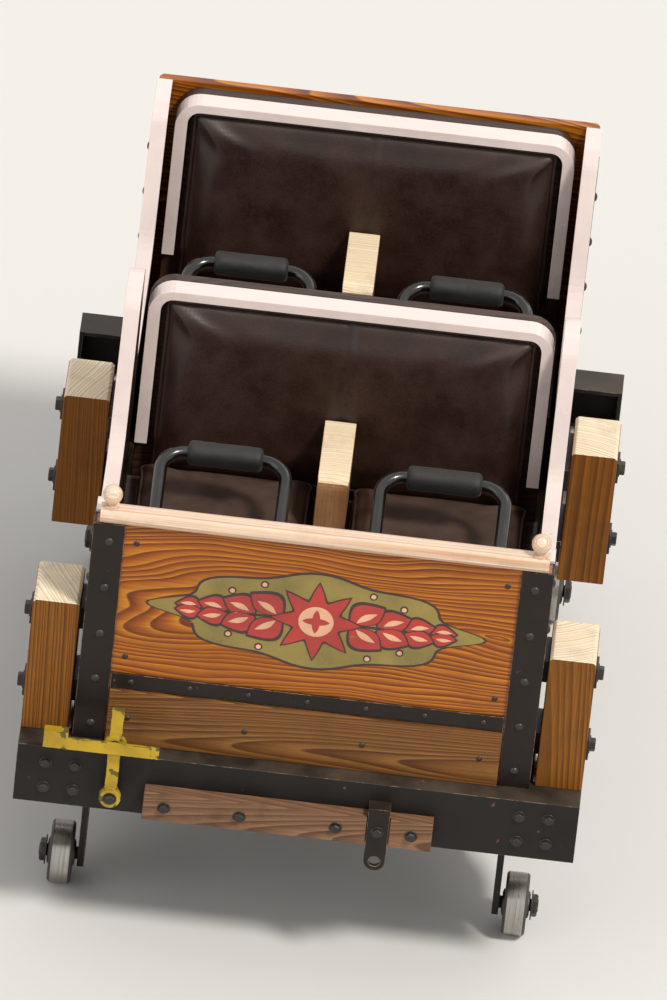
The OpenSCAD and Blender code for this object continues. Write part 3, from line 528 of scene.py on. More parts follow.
def hide(name, tone, rough, cell, relief, scuff, sheen=0.0):
    """Coated cloth or skinned foam: a pebbled surface of small cells, with painted shade in its creases, that
    has rubbed paler on its crown. cell is the pebbles' size and scuff how pale the crown is."""
    tree, shader, spot = blank(name)
    tone = linear(tone)
    pebbles = add(tree, "TexVoronoi", {"Vector": spot, "Scale": 1 / cell, "Randomness": 0.9}, out="Distance")
    # patches of wear about 90 mm wide
    cloud = add(tree, "TexNoise", {"Vector": spot, "Scale": 11.0, "Detail": 5.0, "Roughness": 0.6})
    shade = add(tree, "ValToRGB", [cloud], stops=((0.33, shaded(tone, 0.7)), (0.7, shaded(tone, 1.35))))
    # painted shade: the colour darkens in the creases between the pebbles, where shade falls
    crease = add(tree, "MapRange", [pebbles, 0.3, 0.75, 1.05, 0.72])
    shaded_creases = add(tree, "Mix", {0: 1.0, 6: shade, 7: crease}, out=2, data_type="RGBA", blend_type="MULTIPLY")
    up = add(tree, "SeparateXYZ", [spot.node.outputs["Normal"]], out=2)
    crown = add(tree, "MapRange", [up, 0.5, 1.0, 0.0, scuff])
    rubbed = add(tree, "Math", [crown, cloud], operation="MULTIPLY")
    coloured = add(tree, "Mix", {0: rubbed, 6: shaded_creases, 7: (*linear("#8a7466"), 1)}, out=2, data_type="RGBA")
    gloss = add(tree, "MapRange", [cloud, 0.3, 0.7, rough - 0.08, rough + 0.12])
    bump = add(tree, "Bump", {"Height": pebbles, "Strength": 0.5, "Distance": relief}, invert=True)
    join(tree, shader, {"Base Color": coloured, "Roughness": gloss, "Normal": bump, "Sheen Weight": sheen})


def make_timbers(colours):
    """The timbers of the body, from the varnished panels to the deck."""
    varnish = (colours.varnish_light, "#a9590b", colours.varnish_dark)
    # rotary-cut fir plywood under spar varnish: wild arches in the grain, orange depth and a soft gloss
    wood("varnished fir plywood", X, varnish, 0.0125, 0.4, (0, -1.04, 0.93), tilt=(0, 3, 6), drift=1.1,
         wander=0.06, coat=0.18, relief=0.0003, soil="#5a2c10", soil_share=0.3)
    # the rear panel is the same plywood from another sheet, so its arches lie elsewhere
    wood("varnished fir plywood, rear", X, varnish, 0.0125, 0.4, (0, 0.66, 0.9), tilt=(0, -4, 5), drift=0.9,
         wander=0.055, coat=0.18, relief=0.0003, soil="#5a2c10")
    # oiled fir board: duller and browner than the panel, with a fine straight grain
    wood("oiled fir", X, ("#946630", "#7d4f20", "#5b3414"), 0.0062, 0.55, (0, -1.02, 0.575),
         tilt=(0, 1.5, 1.5), drift=0.6, wander=0.022, coat=0.1)
    # rubbed maple rail: pale, pinkish and shiny where hands hold it
    wood("rubbed maple", X, ("#f4dcc6", "#ecceb2", "#d8ab88"), 0.005, 0.34, (0, -0.95, 1.1), drift=0.4,
         wander=0.012, coat=0.5, soil="#8a5c40", soil_share=0.3)
    # sawn douglas fir posts: ochre sides with dark lines down them, and end grain on their tops painted cream
    # as a highlight for the light that falls there
    post = colours.post_wood
    wood("sawn douglas fir", Z, (shaded(post, 1.35), post, shaded(post, 0.5)), 0.0075, 0.6,
         (0.48, -0.62, 0), tilt=(1.5, 2, 0), drift=0.45, wander=0.02, relief=0.0007,
         end=("#f6e9d0", "#dcc094"))
    # oiled oak blocks between the seats: tan sides with a low sheen, and end grain on their tops painted pale
    # as a highlight
    wood("oiled oak", Z, ("#cb9c6e", "#ab7c53", "#7e5636"), 0.006, 0.45, (0.03, -0.9, 0), tilt=(1, 2, 0),
         drift=0.6, wander=0.015, coat=0.2, end=("#f8e6c6", "#e2c49a"))
    # scuffed pine buffer: pinkish tan, bruised and dirty
    wood("scuffed pine", X, ("#9b7558", "#805d43", "#5c402e"), 0.008, 0.65, (0, -1.1, 0.38), tilt=(0, 3, 2),
         drift=0.5, wander=0.02, soil="#33241a", soil_share=0.6, relief=0.0009)
    # worn deck boards: grey-brown and matt, with trodden grime
    wood("trodden deck boards", Y, ("#6b5540", "#574433", "#3a2c20"), 0.008, 0.72, (0.06, 0, 0.5),
         tilt=(2, 0, 3), drift=0.4, wander=0.03, soil="#221a14", soil_share=0.8, relief=0.0009)
    # birch plywood stained dark walnut: nearly black, with the grain just showing
    wood("stained plywood", X, ("#4a2f22", "#3a241a", "#281810"), 0.011, 0.5, (0, -0.3, 0.9),
         tilt=(0, 4, 5), drift=0.8, wander=0.04, coat=0.15, soil="#17100c")


def make_paints(colours):
    """The paints of the steelwork and the panels."""
    rust = "#6e4426"
    # brown-black iron paint laid on by brush: a low sheen, with a little dust and rust
    paint("brushed iron paint", colours.iron, rust, 0.08, 0.42, dust_share=0.16, shine=0.3)
    # the same paint knocked off the edges: broken lines of bare steel
    paint("iron paint on edges", shaded(colours.iron, 1.6), "#8c7462", 0.62, 0.45, under_metal=0.7)
    # black chassis paint under grease and dust: dull, brown where it has settled
    paint("greasy chassis paint", colours.frame_paint, rust, 0.14, 0.5, dust_share=0.4, chip_size=0.05,
          shine=0.3)
    # chassis paint rubbed off the edges: they catch the light a little
    paint("chassis paint on edges", shaded(colours.frame_paint, 1.6), "#7c6a5c", 0.55, 0.5, under_metal=0.6)
    # black powder coat, polished by hands: smooth, with clear highlights along the bars
    paint("black powder coat", "#090a0b", "#57524c", 0.03, 0.22, dust_share=0.06, under_metal=0.8, coat=0.5,
          relief=0.00012)
    # yellow safety enamel, trodden through to old olive primer
    paint("yellow safety enamel", colours.pedal_paint, "#5c5216", 0.44, 0.42, dust_share=0.3,
          dust="#5a5020", chip_size=0.06, ragged=0.5)
    # the enamel's edges and ribs, worn most of all: half yellow, half olive
    paint("enamel on edges", "#b49a20", "#4a4420", 0.6, 0.5)
    # mauve-brown lacquer on the side panels: a soft even gloss, and dark brown inside the car
    inner_x = 0.5102
    paint("mauve-brown lacquer", colours.side_paint, "#8a6a5c", 0.04, 0.36, dust_share=0.2, coat=0.4,
          chip_size=0.04, dust="#9a8474", inside=(inner_x, colours.inside_paint), mottle=0.16)
    # pinkish-white vinyl moulding along the edges: glossy and bright, rubbed through in a few places
    paint("glossy edge moulding", colours.trim, "#b08a7c", 0.04, 0.3, dust_share=0.1, coat=0.6,
          chip_size=0.02, dust="#b09a8c", mottle=0.08)


def make_metals():
    """The bare, cast and plated metals. Scratches are 2 to 3 mm apart, coarser than real, so they show."""
    # road and up-stop treads rubbed by the rail: bright, with fine lines round the wheel
    worn_steel("rubbed tread steel", "#b4b0aa", 0.28, (520, 4, 4), 0.15)
    # guide wheels lie flat, so the lines of their treads run round Z
    worn_steel("rubbed guide tread steel", "#b4b0aa", 0.28, (4, 4, 520), 0.15)
    # cast iron wheel: dark, pitted and oily
    paint("cast iron", "#3a3632", "#5a3c28", 0.25, 0.5, dust_share=0.4, under_metal=0.3, chip_size=0.02)
    # flat bar scraped by the chain and the brakes: grey lines along it with brown rust between them
    worn_steel("scraped flat steel", "#9c958c", 0.4, (300, 6, 300), 0.55)
    # zinc plated screws: dull silver, mottled like frost
    worn_steel("zinc plated steel", "#a8a69c", 0.36, (60, 60, 60), 0.35)
    # black oxide bolts: brown-black, rubbed to steel at the crown
    paint("black oxide", "#241f1c", "#77706a", 0.18, 0.42, under_metal=0.8, chip_size=0.012, dust_share=0.2)


def make_covers(colours):
    """The covers of the padding."""
    # dark brown vinyl on foam: soft highlights broken by pebbles of 5 mm, in place of real ones of 1 mm
    hide("embossed vinyl", colours.vinyl, 0.42, 0.005, 0.0004, 0.35)
    # the same vinyl drawn tight over a cord: darker and finer
    hide("vinyl piping", shaded(colours.vinyl, 0.75), 0.4, 0.004, 0.0003, 0.2)
    # skinned foam sleeve: matt black with fine pores
    hide("skinned foam", "#101112", 0.6, 0.003, 0.0003, 0.12, sheen=0.1)


def make_sign_enamels(colours):
    """The signwriter's enamels: rich colour with a clear gloss, worn through to the varnish in places."""
    tones = {
        "ground": colours.ornament_ground,
        "outline": "#33160f",
        "red": colours.ornament_red,
        "highlight": "#e8b08c",
    }
    for name, tone in tones.items():
        paint(f"sign enamel, {name}", tone, "#a35c20", 0.12, 0.3, dust_share=0.1, coat=0.5, chip_size=0.02,
              stretch=(0.5, 1, 2))


def make_finishes(colours):
    """All the materials of the car, each named for what the real one is and how its surface was made."""
    make_timbers(colours)
    make_paints(colours)
    make_metals()
    make_covers(colours)
    make_sign_enamels(colours)


# CAD nodes

BOARDS = (
    # node, finish
    ("front_panel", "varnished fir plywood"),
    ("rear_panel", "varnished fir plywood, rear"),
    ("front_lower_board", "oiled fir"),
    ("stake_posts", "sawn douglas fir"),
    ("seat_dividers", "oiled oak"),
    ("buffer_board", "scuffed pine"),
    ("floor_boards", "trodden deck boards"),
    ("benches", "stained plywood"),
    ("back_boards", "stained plywood"),
)
STEELWORK = (
    # node, finish, finish of its edges
    ("side_sills", "greasy chassis paint", "chassis paint on edges"),
    ("end_beams", "greasy chassis paint", "chassis paint on edges"),
    ("axle_tubes", "greasy chassis paint", "chassis paint on edges"),
    ("wheel_carriers", "greasy chassis paint", "chassis paint on edges"),
    ("cross_members", "greasy chassis paint", "chassis paint on edges"),
    ("drawbar", "greasy chassis paint", "chassis paint on edges"),
    ("body_irons", "brushed iron paint", "iron paint on edges"),
    ("tow_strap", "brushed iron paint", "iron paint on edges"),
    ("release_pedal", "yellow safety enamel", "enamel on edges"),
    ("brake_fin", "scraped flat steel", None),
    ("chain_dog", "scraped flat steel", None),
    ("rollback_dog", "scraped flat steel", None),
    ("side_panels", "mauve-brown lacquer", None),
    ("side_trims", "glossy edge moulding", None),
    ("back_trims", "glossy edge moulding", None),
    ("bar_stands", "black powder coat", "iron paint on edges"),
)


def finish_boards(sizes):
    """The boards with eased edges, and the cap rail, which is round already."""
    for node, finish in BOARDS:
        dress(node, finish, sizes.board_edge)
    dress("cap_rail", "rubbed maple")


def finish_steelwork(sizes):
    """The plates, beams and mouldings with small edges, and the lap bars, whose tubes are round already."""
    for node, finish, edge_finish in STEELWORK:
        dress(node, finish, sizes.steel_edge, edge_finish)
    for row, side in product(ROWS, SIDES):
        dress(f"lap_bar_{row}_{side}", "black powder coat")


def finish_wheels():
    """The castings of all twelve wheels."""
    for kind, end, side in product(WHEELS, ENDS, SIDES):
        dress(f"{kind}_wheel_{end}_{side}", "cast iron")


# Padding

CLOTH_FRAMES = 20


def evaluated(obj):
    """The mesh that an object's modifiers give it."""
    return bpy.data.meshes.new_from_object(obj.evaluated_get(bpy.context.evaluated_depsgraph_get()))


def blown_up(name, size, edge, voxel, pressure, cap, rest):
    """A padded block about the origin, blown up by cloth simulation with its resting face held.
    rest is the height below which points are held, and cap is how far any point may move."""
    bm = bmesh.new()
    bmesh.ops.create_cube(bm, size=1)
    bmesh.ops.scale(bm, vec=size, verts=bm.verts)
    bmesh.ops.bevel(bm, geom=bm.edges, offset=edge, segments=4, profile=0.5, affect="EDGES", material=-1)
    obj = bpy.data.objects.new(name, shape_from(bm, name))
    scene = bpy.context.scene
    scene.collection.objects.link(obj)
    grid = obj.modifiers.new("grid", "REMESH")
    grid.mode = "VOXEL"
    grid.voxel_size = voxel
    bpy.context.view_layer.update()
    obj.data = evaluated(obj)
    obj.modifiers.clear()
    start = [v.co.copy() for v in obj.data.vertices]
    held = obj.vertex_groups.new(name="held")
    held.add([i for i, co in enumerate(start) if co.z < rest], 1.0, "REPLACE")
    cloth = obj.modifiers.new("cloth", "CLOTH")
    cloth.settings.quality = 4
    cloth.settings.mass = 0.4
    cloth.settings.tension_stiffness = 12
    cloth.settings.compression_stiffness = 12
    cloth.settings.bending_stiffness = 0.4
    cloth.settings.use_pressure = True
    cloth.settings.uniform_pressure_force = pressure
    cloth.settings.vertex_group_mass = "held"
    cloth.settings.effector_weights.gravity = 0
    cloth.collision_settings.use_collision = False
    cloth.point_cache.frame_start = 1
    cloth.point_cache.frame_end = CLOTH_FRAMES
    for step in range(1, CLOTH_FRAMES + 1):
        scene.frame_set(step)
    blown = evaluated(obj)
    scene.frame_set(1)
    for vertex, origin in zip(blown.vertices, start):
        move = vertex.co - origin
        if move.length > cap:
            vertex.co = origin + move.normalized() * cap
    bm = bmesh.new()
    bm.from_mesh(blown)
    bmesh.ops.smooth_vert(bm, verts=bm.verts, factor=0.5, use_axis_x=True, use_axis_y=True, use_axis_z=True)
    bpy.data.objects.remove(obj)
    return bm


def rounded_loop(half_x, half_y, radius, spacing):
    """Points round a rectangle with round corners, about the origin."""
    loop = []
    for quarter, (way_x, way_y) in enumerate(((1, 1), (-1, 1), (-1, -1), (1, -1))):
        for turn in spread(0, math.pi / 2, 7):
            aim = quarter * math.pi / 2 + turn
            loop.append(Vector((way_x * (half_x - radius) + radius * math.cos(aim),
                                way_y * (half_y - radius) + radius * math.sin(aim))))
    points = []
    for i, point in enumerate(loop):
        gap = loop[(i + 1) % len(loop)] - point
        count = max(1, round(gap.length / spacing))
        points += [point + gap * (step / count) for step in range(count)]
    return points


def piped(bm, half_x, half_y, height, corner, radius):
    """A line of piping laid on a padded bmesh, round the edge of its face at a height."""
    skin = BVHTree.FromBMesh(bm)
    line = []
    for point in rounded_loop(half_x, half_y, corner, 0.012):
        spot, normal, _, _ = skin.find_nearest(Vector((point.x, point.y, height)))
        line.append(spot + normal * radius * 0.35)
    piping = bmesh.new()
    tube(piping, line, radius, closed=True, resolution=3)
    return piping


def sewn(name, source, finish, place, node):
    """A copy of a padded shape at its place, in place of a CAD node's plain solid."""
    copy = source.copy()
    bmesh.ops.transform(copy, matrix=place, verts=copy.verts)
    obj = piece(name, copy, finish, crease=180)
    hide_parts(node)
    return obj


def make_cushions(sizes):
    """Seat cushions: boxed vinyl on foam, crowned and pulled in between their corners, piped at the edges."""
    low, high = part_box("seat_cushions")
    near_x = reach("seat_dividers", "left") + 0.002
    width = high.x - near_x
    depth = high.y - low.y - ROWS["rear"]
    height = high.z - low.z
    # the block is smaller than the solid by what the pressure adds
    sink = 0.006
    swell = 0.010
    size = Vector((width - sink, depth - sink, height - swell))
    foot = -size.z / 2
    soft = blown_up("cushion", size, 0.022, sizes.cushion_voxel, 5.0, 0.014, 0.004 + foot)
    corner = 0.03
    rise = 0.012
    edge_line = piped(soft, size.x / 2, size.y / 2, size.z / 2 - rise, corner, sizes.piping)
    foot_line = piped(soft, size.x / 2, size.y / 2, rise + foot, corner, sizes.piping * 0.8)
    for (row, shift), (side, way) in product(ROWS.items(), SIDES.items()):
        centre = Vector((way * (near_x + width / 2), low.y + depth / 2 + shift, low.z + size.z / 2 + 0.0005))
        place = Matrix.Translation(centre) @ Matrix.Diagonal((way, 1, 1, 1))
        cushion = sewn(f"cushion_{row}_{side}", soft, "embossed vinyl", place, "seat_cushions")
        sewn(f"cushion_piping_{row}_{side}", edge_line, "vinyl piping", place, "seat_cushions")
        sewn(f"cushion_foot_piping_{row}_{side}", foot_line, "vinyl piping", place, "seat_cushions")
    for source in (soft, edge_line, foot_line):
        source.free()


def make_back_pads(sizes):
    """Back pads: one across both seats of a row, crowned, piped at its edge and sewn down the middle."""
    low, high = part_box("back_pads")
    thick = 0.060
    # the block is smaller than the solid by what the pressure adds
    sink = 0.006
    swell = 0.012
    size = Vector((high.x - low.x - sink, (high.z - low.z) / math.cos(LEAN) - sink, thick - swell))
    soft = blown_up("back pad", size, 0.020, sizes.pad_voxel, 4.0, 0.014, 0.004 - size.z / 2)
    # the seam down the middle pulls the cover in over 25 mm on each side
    seam_depth = 0.009
    seam_reach = 0.025
    for vertex in soft.verts:
        near = max(0.0, 1 - abs(vertex.co.x) / seam_reach)
        if vertex.co.z > 0:
            vertex.co.z -= seam_depth * near * near
    edge_line = piped(soft, size.x / 2, size.y / 2, size.z / 2 - 0.010, 0.028, sizes.piping)
    for row, shift in ROWS.items():
        # the pad's face looks to the nose and a little up, and its back lies on the board
        foot_back = Vector((0, low.y + thick * math.cos(LEAN) + shift, low.z + 0.004))
        turn = Matrix.Rotation(math.pi / 2 - LEAN, 4, "X")
        centre = foot_back + turn.to_3x3() @ Vector((0, size.y / 2, size.z / 2 + 0.0008))
        place = Matrix.Translation(centre) @ turn
        pad = sewn(f"back_pad_{row}", soft, "embossed vinyl", place, "back_pads")
        sewn(f"back_pad_piping_{row}", edge_line, "vinyl piping", place, "back_pads")
    soft.free()
    edge_line.free()


def make_lap_sleeves():
    """Foam sleeves on the lap bars: skinned foam with soft ends, a seam and the creases of many hands."""
    for row, side in product(ROWS, SIDES):
        node = f"lap_sleeves_{row}_{side}"
        low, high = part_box(node)
        centre = middle(node)
        long = high.x - low.x
        radius = (high.z - low.z) / 2
        bore = radius * 0.56
        soft = 0.012
        ends = [(bore, 0.0), (radius - soft, 0.0), (radius - soft * 0.45, soft * 0.18),
                (radius - soft * 0.12, soft * 0.55), (radius, soft)]
        outer = ends + [(radius, h) for h in spread(soft, long - soft, 24)[1:]]
        profile = outer + [(r, long - h) for r, h in reversed(ends[:-1])]
        bm = bmesh.new()
        stamp(bm, lathe(profile, 40, ring=True), (low.x, centre.y, centre.z), OUT["left"])
        for vertex in bm.verts:
            out = vertex.co - centre
            out.x = 0
            if out.length > bore * 1.05:
                # creases about 17 mm apart, and a seam 6 mm wide along the underside
                crease = max(0.0, noise.noise(vertex.co * 60) * 0.0016)
                seam = 0.0022 if out.z < 0 and abs(out.y) < 0.003 else 0.0
                vertex.co -= out.normalized() * (seam + crease)
        name = f"lap_sleeve_{row}_{side}"
        sleeve = piece(name, bm, "skinned foam", f"lap_bar_{row}_{side}", crease=60)
        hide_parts(node)


# Ornament on the front panel

def flat_shape(outline):
    """A flat shape in X and Z, from a function that gives x and z for each turn round the outline."""
    bm = bmesh.new()
    bmesh.ops.create_circle(bm, cap_ends=True, segments=96, radius=1)
    for vertex in bm.verts:
        x, z = outline(math.atan2(vertex.co.y, vertex.co.x))
        vertex.co = (x, 0, z)
    return bm


def cartouche(half_x, half_z, rim=0.0):
    """A shield lying on its side: an oval with a lobed edge that draws out to a point at each end."""
    def outline(turn):
        lobe = 1 + 0.07 * math.cos(8 * turn)
        tip = 1 + 0.10 * abs(math.cos(turn)) ** 24
        waist = 0.72 + 0.28 * abs(math.sin(turn))
        return ((half_x * lobe + rim) * math.cos(turn) * tip, (half_z * lobe + rim) * math.sin(turn) * waist)
    return flat_shape(outline)


def star(points, outer, inner):
    """A star about the origin, with the given number of points."""
    def outline(turn):
        wave = abs(((turn * points / math.tau) % 1) * 2 - 1)
        radius = inner + (outer - inner) * wave ** 1.6
        return radius * math.cos(turn), radius * math.sin(turn)
    return flat_shape(outline)


def oval(half_x, half_z, x=0.0, z=0.0):
    """An oval about a point."""
    return flat_shape(lambda turn: (x + half_x * math.cos(turn), z + half_z * math.sin(turn)))


def leaf(long, wide, tilt, stem, curl):
    """A pointed leaf that curls, with its stem at a point."""
    def outline(turn):
        along = (1 + math.cos(turn)) / 2
        off = wide * math.sin(turn) * (1 - 0.72 * math.cos(turn) ** 2) + curl * long * along * along
        return (stem[0] + long * along * math.cos(tilt) - off * math.sin(tilt),
                stem[1] + long * along * math.sin(tilt) + off * math.cos(tilt))
    return flat_shape(outline)


def paint_layer(name, shapes, enamel, centre, proud, stroke=0.00001):
    """One colour of the ornament. Each stroke lies a hair over the one before it, as brushed enamel does."""
    layer = bmesh.new()
    for i, shape in enumerate(shapes):
        sheet = bmesh.ops.extrude_face_region(shape, geom=shape.faces[:])
        raised = [v for v in sheet["geom"] if isinstance(v, bmesh.types.BMVert)]
        bmesh.ops.translate(shape, vec=(0, -proud - i * stroke, 0), verts=raised)
        mesh = bpy.data.meshes.new("stroke")
        shape.to_mesh(mesh)
        shape.free()
        layer.from_mesh(mesh)
    bmesh.ops.translate(layer, vec=centre, verts=layer.verts)
    piece(name, layer, f"sign enamel, {enamel}")


def make_ornament(sizes):
    """A painted star between two sprays of curled leaves, on an olive gold ground with a dark rim."""
    half = sizes.ornament_width / 2
    tall = half * 0.36
    rim = 0.007
    line = 0.006
    coat = 0.0003
    stroke = 0.00004
    stems, outlines, reds, lights, dots = [], [], [], [], []
    # leaf pairs along each spray: start, length and width as shares of the half width, and tilt in degrees
    leaves = (
        (0.80, 0.17, 0.055, 14),
        (0.62, 0.20, 0.070, 24),
        (0.43, 0.23, 0.085, 34),
        (0.24, 0.26, 0.095, 46),
    )
    for way in SIDES.values():
        stems.append(oval(half * 0.4, 0.004, way * half * 0.55))
        for start, long, wide, degrees in leaves:
            long, wide = long * half, wide * half
            for up in (1, -1):
                slope = math.radians(degrees) * up
                tilt = slope if way > 0 else math.pi - slope
                x, z = way * start * half, up * tall * 0.05
                curl = 0.22 * up * -way
                outlines.append(leaf(long + 1.8 * line, wide + line, tilt, (x - way * line * 0.8, z), curl))
                reds.append(leaf(long, wide, tilt, (x, z), curl))
                lights.append(leaf(long * 0.62, wide * 0.26, tilt, (x + way * 0.014, z + up * 0.003), curl))
        # dots above and below the spray: shares of the half width and the half height
        for across, rise in ((0.38, 0.72), (0.60, 0.50)):
            for up in (1, -1):
                x, z = way * half * across, up * tall * rise
                dots.append(oval(0.0095, 0.0095, x, z))
                lights.append(oval(0.006, 0.006, x, z))
    outlines.append(star(8, tall * 0.86 + rim, tall * 0.46 + rim))
    reds.append(star(8, tall * 0.86, tall * 0.46))
    lights.append(oval(tall * 0.34, tall * 0.34))
    heart = star(4, tall * 0.27, tall * 0.11)
    centre = at(0, 0, sizes.ornament_height)
    # each red leaf lies over its own outline, and the next outline over that leaf
    leaf_base = coat * 3 + stroke * len(stems)
    paint_layer("ornament_rim", [cartouche(half, tall, rim)], "outline", centre, coat)
    paint_layer("ornament_ground", [cartouche(half, tall)], "ground", centre, coat * 2)
    paint_layer("ornament_outline", stems + outlines + dots, "outline", centre, coat * 3, stroke)
    paint_layer("ornament_red", reds, "red", centre, leaf_base + stroke / 2, stroke)
    paint_layer("ornament_highlight", lights, "highlight", centre, coat * 7)
    paint_layer("ornament_heart", [heart], "red", centre, coat * 8)


# Fasteners

IRON_BOLTS = (0.045, 0.172, 0.30, 0.43, 0.56)  # heights of the bolts up a corner angle
IRON_INSET = 0.035  # from the outer corner of an angle to the line of its bolts
IRON_X = (IRON_INSET - SIDE_X, SIDE_X - IRON_INSET)
ROW_X = 0.42  # half the width of the rows of small fasteners across the nose and the tail
COACH_DOME = 0.006
SMALL_DOME = 0.004
SCREW_DOME = 0.002


def fasten(bm, head, side, xs, stations, heights, by_x=0, by_height=0):
    """Stamps a head at every crossing of the given xs, stations and heights, facing a side of the car.
    by_x and by_height are radians per metre of x and height, so that the heads stand as hands left them."""
    for x, station, height in product(xs, stations, heights):
        stamp(bm, head, at(x, station, height), OUT[side], turn=x * by_x + height * by_height)


def make_nose_bolts(sizes):
    """Coach bolts through the corner angles, the strip and the boards of the nose."""
    bm = bmesh.new()
    head = coach_head(sizes.coach_head, COACH_DOME)
    small = coach_head(sizes.coach_head * 0.65, SMALL_DOME)
    iron_face = reach("body_irons", "nose")
    board_face = reach("front_lower_board", "nose")
    strip_middle = 0.173
    board_middle = 0.075
    panel_face = 0
    fasten(bm, head, "nose", IRON_X, [iron_face], IRON_BOLTS)
    fasten(bm, small, "nose", spread(-ROW_X, ROW_X, 7), [iron_face], [strip_middle])
    fasten(bm, small, "nose", spread(-ROW_X, ROW_X, 4), [board_face], [board_middle])
    fasten(bm, small, "nose", (-0.44, 0.44), [panel_face], (0.24, 0.56))
    piece("nose_bolts", bm, "black oxide")


def make_beam_bolts(sizes):
    """Hexagon bolts on the beams, the buffer board and the tow strap."""
    bm = bmesh.new()
    head = hex_head(sizes.hex_head, 0.008)
    buffer_face = reach("buffer_board", "nose")
    buffer_middle = -0.111
    front_face = reach("end_beams", "nose")
    rear_face = TAIL - front_face
    beam_ends, beam_rows = (-0.60, -0.53, 0.53, 0.60), (-0.045, -0.115)
    fasten(bm, head, "nose", (-0.31, -0.13, 0.10, 0.28), [buffer_face], [buffer_middle], by_x=1)
    fasten(bm, head, "nose", [middle("tow_strap").x], [buffer_face], [buffer_middle])
    fasten(bm, head, "nose", beam_ends, [front_face], beam_rows, by_height=1)
    fasten(bm, head, "tail", beam_ends, [rear_face], beam_rows, by_height=1)
    fasten(bm, head, "tail", (-0.41, 0.41), [rear_face], (-0.035, -0.09))
    piece("beam_bolts", bm, "black oxide")


def make_side_bolts(sizes):
    """Coach bolts through the sides of the corner angles, and through the rear angles' backs."""
    bm = bmesh.new()
    head = coach_head(sizes.coach_head, COACH_DOME)
    iron_x = SIDE_X - reach("body_irons", "nose")
    for side, way in SIDES.items():
        # the front posts stand over the lower bolts of the front angles
        fasten(bm, head, side, [way * iron_x], [IRON_INSET], IRON_BOLTS[3:])
        fasten(bm, head, side, [way * iron_x], [TAIL - IRON_INSET], IRON_BOLTS)
    fasten(bm, head, "tail", IRON_X, [reach("body_irons", "tail")], IRON_BOLTS)
    piece("side_bolts", bm, "black oxide")


def make_panel_screws(sizes):
    """Screws along the foot of the side panels, up the line of each seat back, and across the rear panel."""
    bm = bmesh.new()
    screw = coach_head(sizes.screw_head, SCREW_DOME)
    foot_height = 0.030
    # the station at which the front seat back meets the floor
    back_foot = 0.803
    for side, way in SIDES.items():
        x = way * SIDE_X
        fasten(bm, screw, side, [x], spread(0.24, 1.68, 13), [foot_height])
        for shift, height in product(ROWS.values(), (0.10, 0.25, 0.40, 0.55, 0.68)):
            station = back_foot + shift + (height - FLOOR_TOP) * math.tan(LEAN)
            stamp(bm, screw, at(x, station, height), OUT[side])
    fasten(bm, screw, "tail", spread(-ROW_X, ROW_X, 7), [TAIL], (0.012, 0.735))
    piece("panel_screws", bm, "zinc plated steel")


def make_post_bolts(sizes):
    """Through bolts of the stake posts: a nut on a square plate washer on the outer face."""
    bm = bmesh.new()
    plate_t = 0.006
    plate = bar((sizes.post_washer, sizes.post_washer, plate_t), sizes.steel_edge)
    nut = hex_head(sizes.post_nut, 0.012)
    face_x = reach("stake_posts", "left")
    half_post = 0.085
    inset = 0.080
    stations = (reach("stake_posts", "nose") + half_post, reach("stake_posts", "tail") - half_post)
    heights = (inset, reach("stake_posts", "up") - inset)
    for side, way in SIDES.items():
        fasten(bm, plate, side, [way * (face_x + plate_t / 2)], stations, heights)
        fasten(bm, nut, side, [way * (face_x + plate_t)], stations, heights, by_height=9)
    piece("post_bolts", bm, "black oxide")


def make_deck_screws(sizes):
    """Screws in the floor boards and in the bench fronts."""
    bm = bmesh.new()
    screw = screw_head(sizes.screw_head)
    low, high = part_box("floor_boards")
    boards = 5
    gap = 0.004
    inset = 0.03
    pitch = (high.x - low.x + gap) / boards
    for i in range(boards):
        board_x = low.x + i * pitch
        xs = (board_x + inset, board_x + pitch - gap - inset)
        fasten(bm, screw, "up", xs, (0.08, 0.36, 0.95, 1.21), [FLOOR_TOP], by_x=40)
    for shift in ROWS.values():
        bench_face = reach("benches", "nose") + shift
        fasten(bm, screw, "nose", spread(-0.47, 0.47, 6), [bench_face], (0.045, 0.222), by_x=30)
    piece("deck_screws", bm, "zinc plated steel")


def make_stand_bolts(sizes):
    """Heads of the lap bars' hinge pins, and the bolts that hold the stands to the deck."""
    bm = bmesh.new()
    head = hex_head(sizes.hinge_head, 0.007)
    foot = hex_head(sizes.foot_bolt, 0.005)
    hinge_station, hinge_height = 0.290, 0.130
    bar_x = middle("lap_bar_front_left").x
    pin_half = reach("bar_stands", "left") - bar_x
    foot_top = 0.033
    for shift, way, (side, end) in product(ROWS.values(), SIDES.values(), SIDES.items()):
        x, station = way * bar_x, hinge_station + shift
        stamp(bm, head, at(x + end * pin_half, station, hinge_height), OUT[side], turn=0.3)
        for step, back in product((0.055, 0.12), (-0.016, 0.016)):
            stamp(bm, foot, at(x + end * step, station + back, foot_top), OUT["up"], turn=step * 9)
    piece("stand_bolts", bm, "black oxide")


# Wheels and frame

Wheel = namedtuple("Wheel", "radius half hub web circle axle")

WHEELS = {
    # tread's radius and half width, hub's radius, web's half thickness, bolt circle's radius, axle's radius
    "road": Wheel(0.140, 0.038, 0.046, 0.0144, 0.078, 0.020),
    "guide": Wheel(0.089, 0.025, 0.034, 0.0095, 0.050, 0.015),
    "upstop": Wheel(0.076, 0.028, 0.032, 0.0106, 0.043, 0.015),
}
HUB_PROUD = 0.004  # how far a hub stands out from the side of its tread


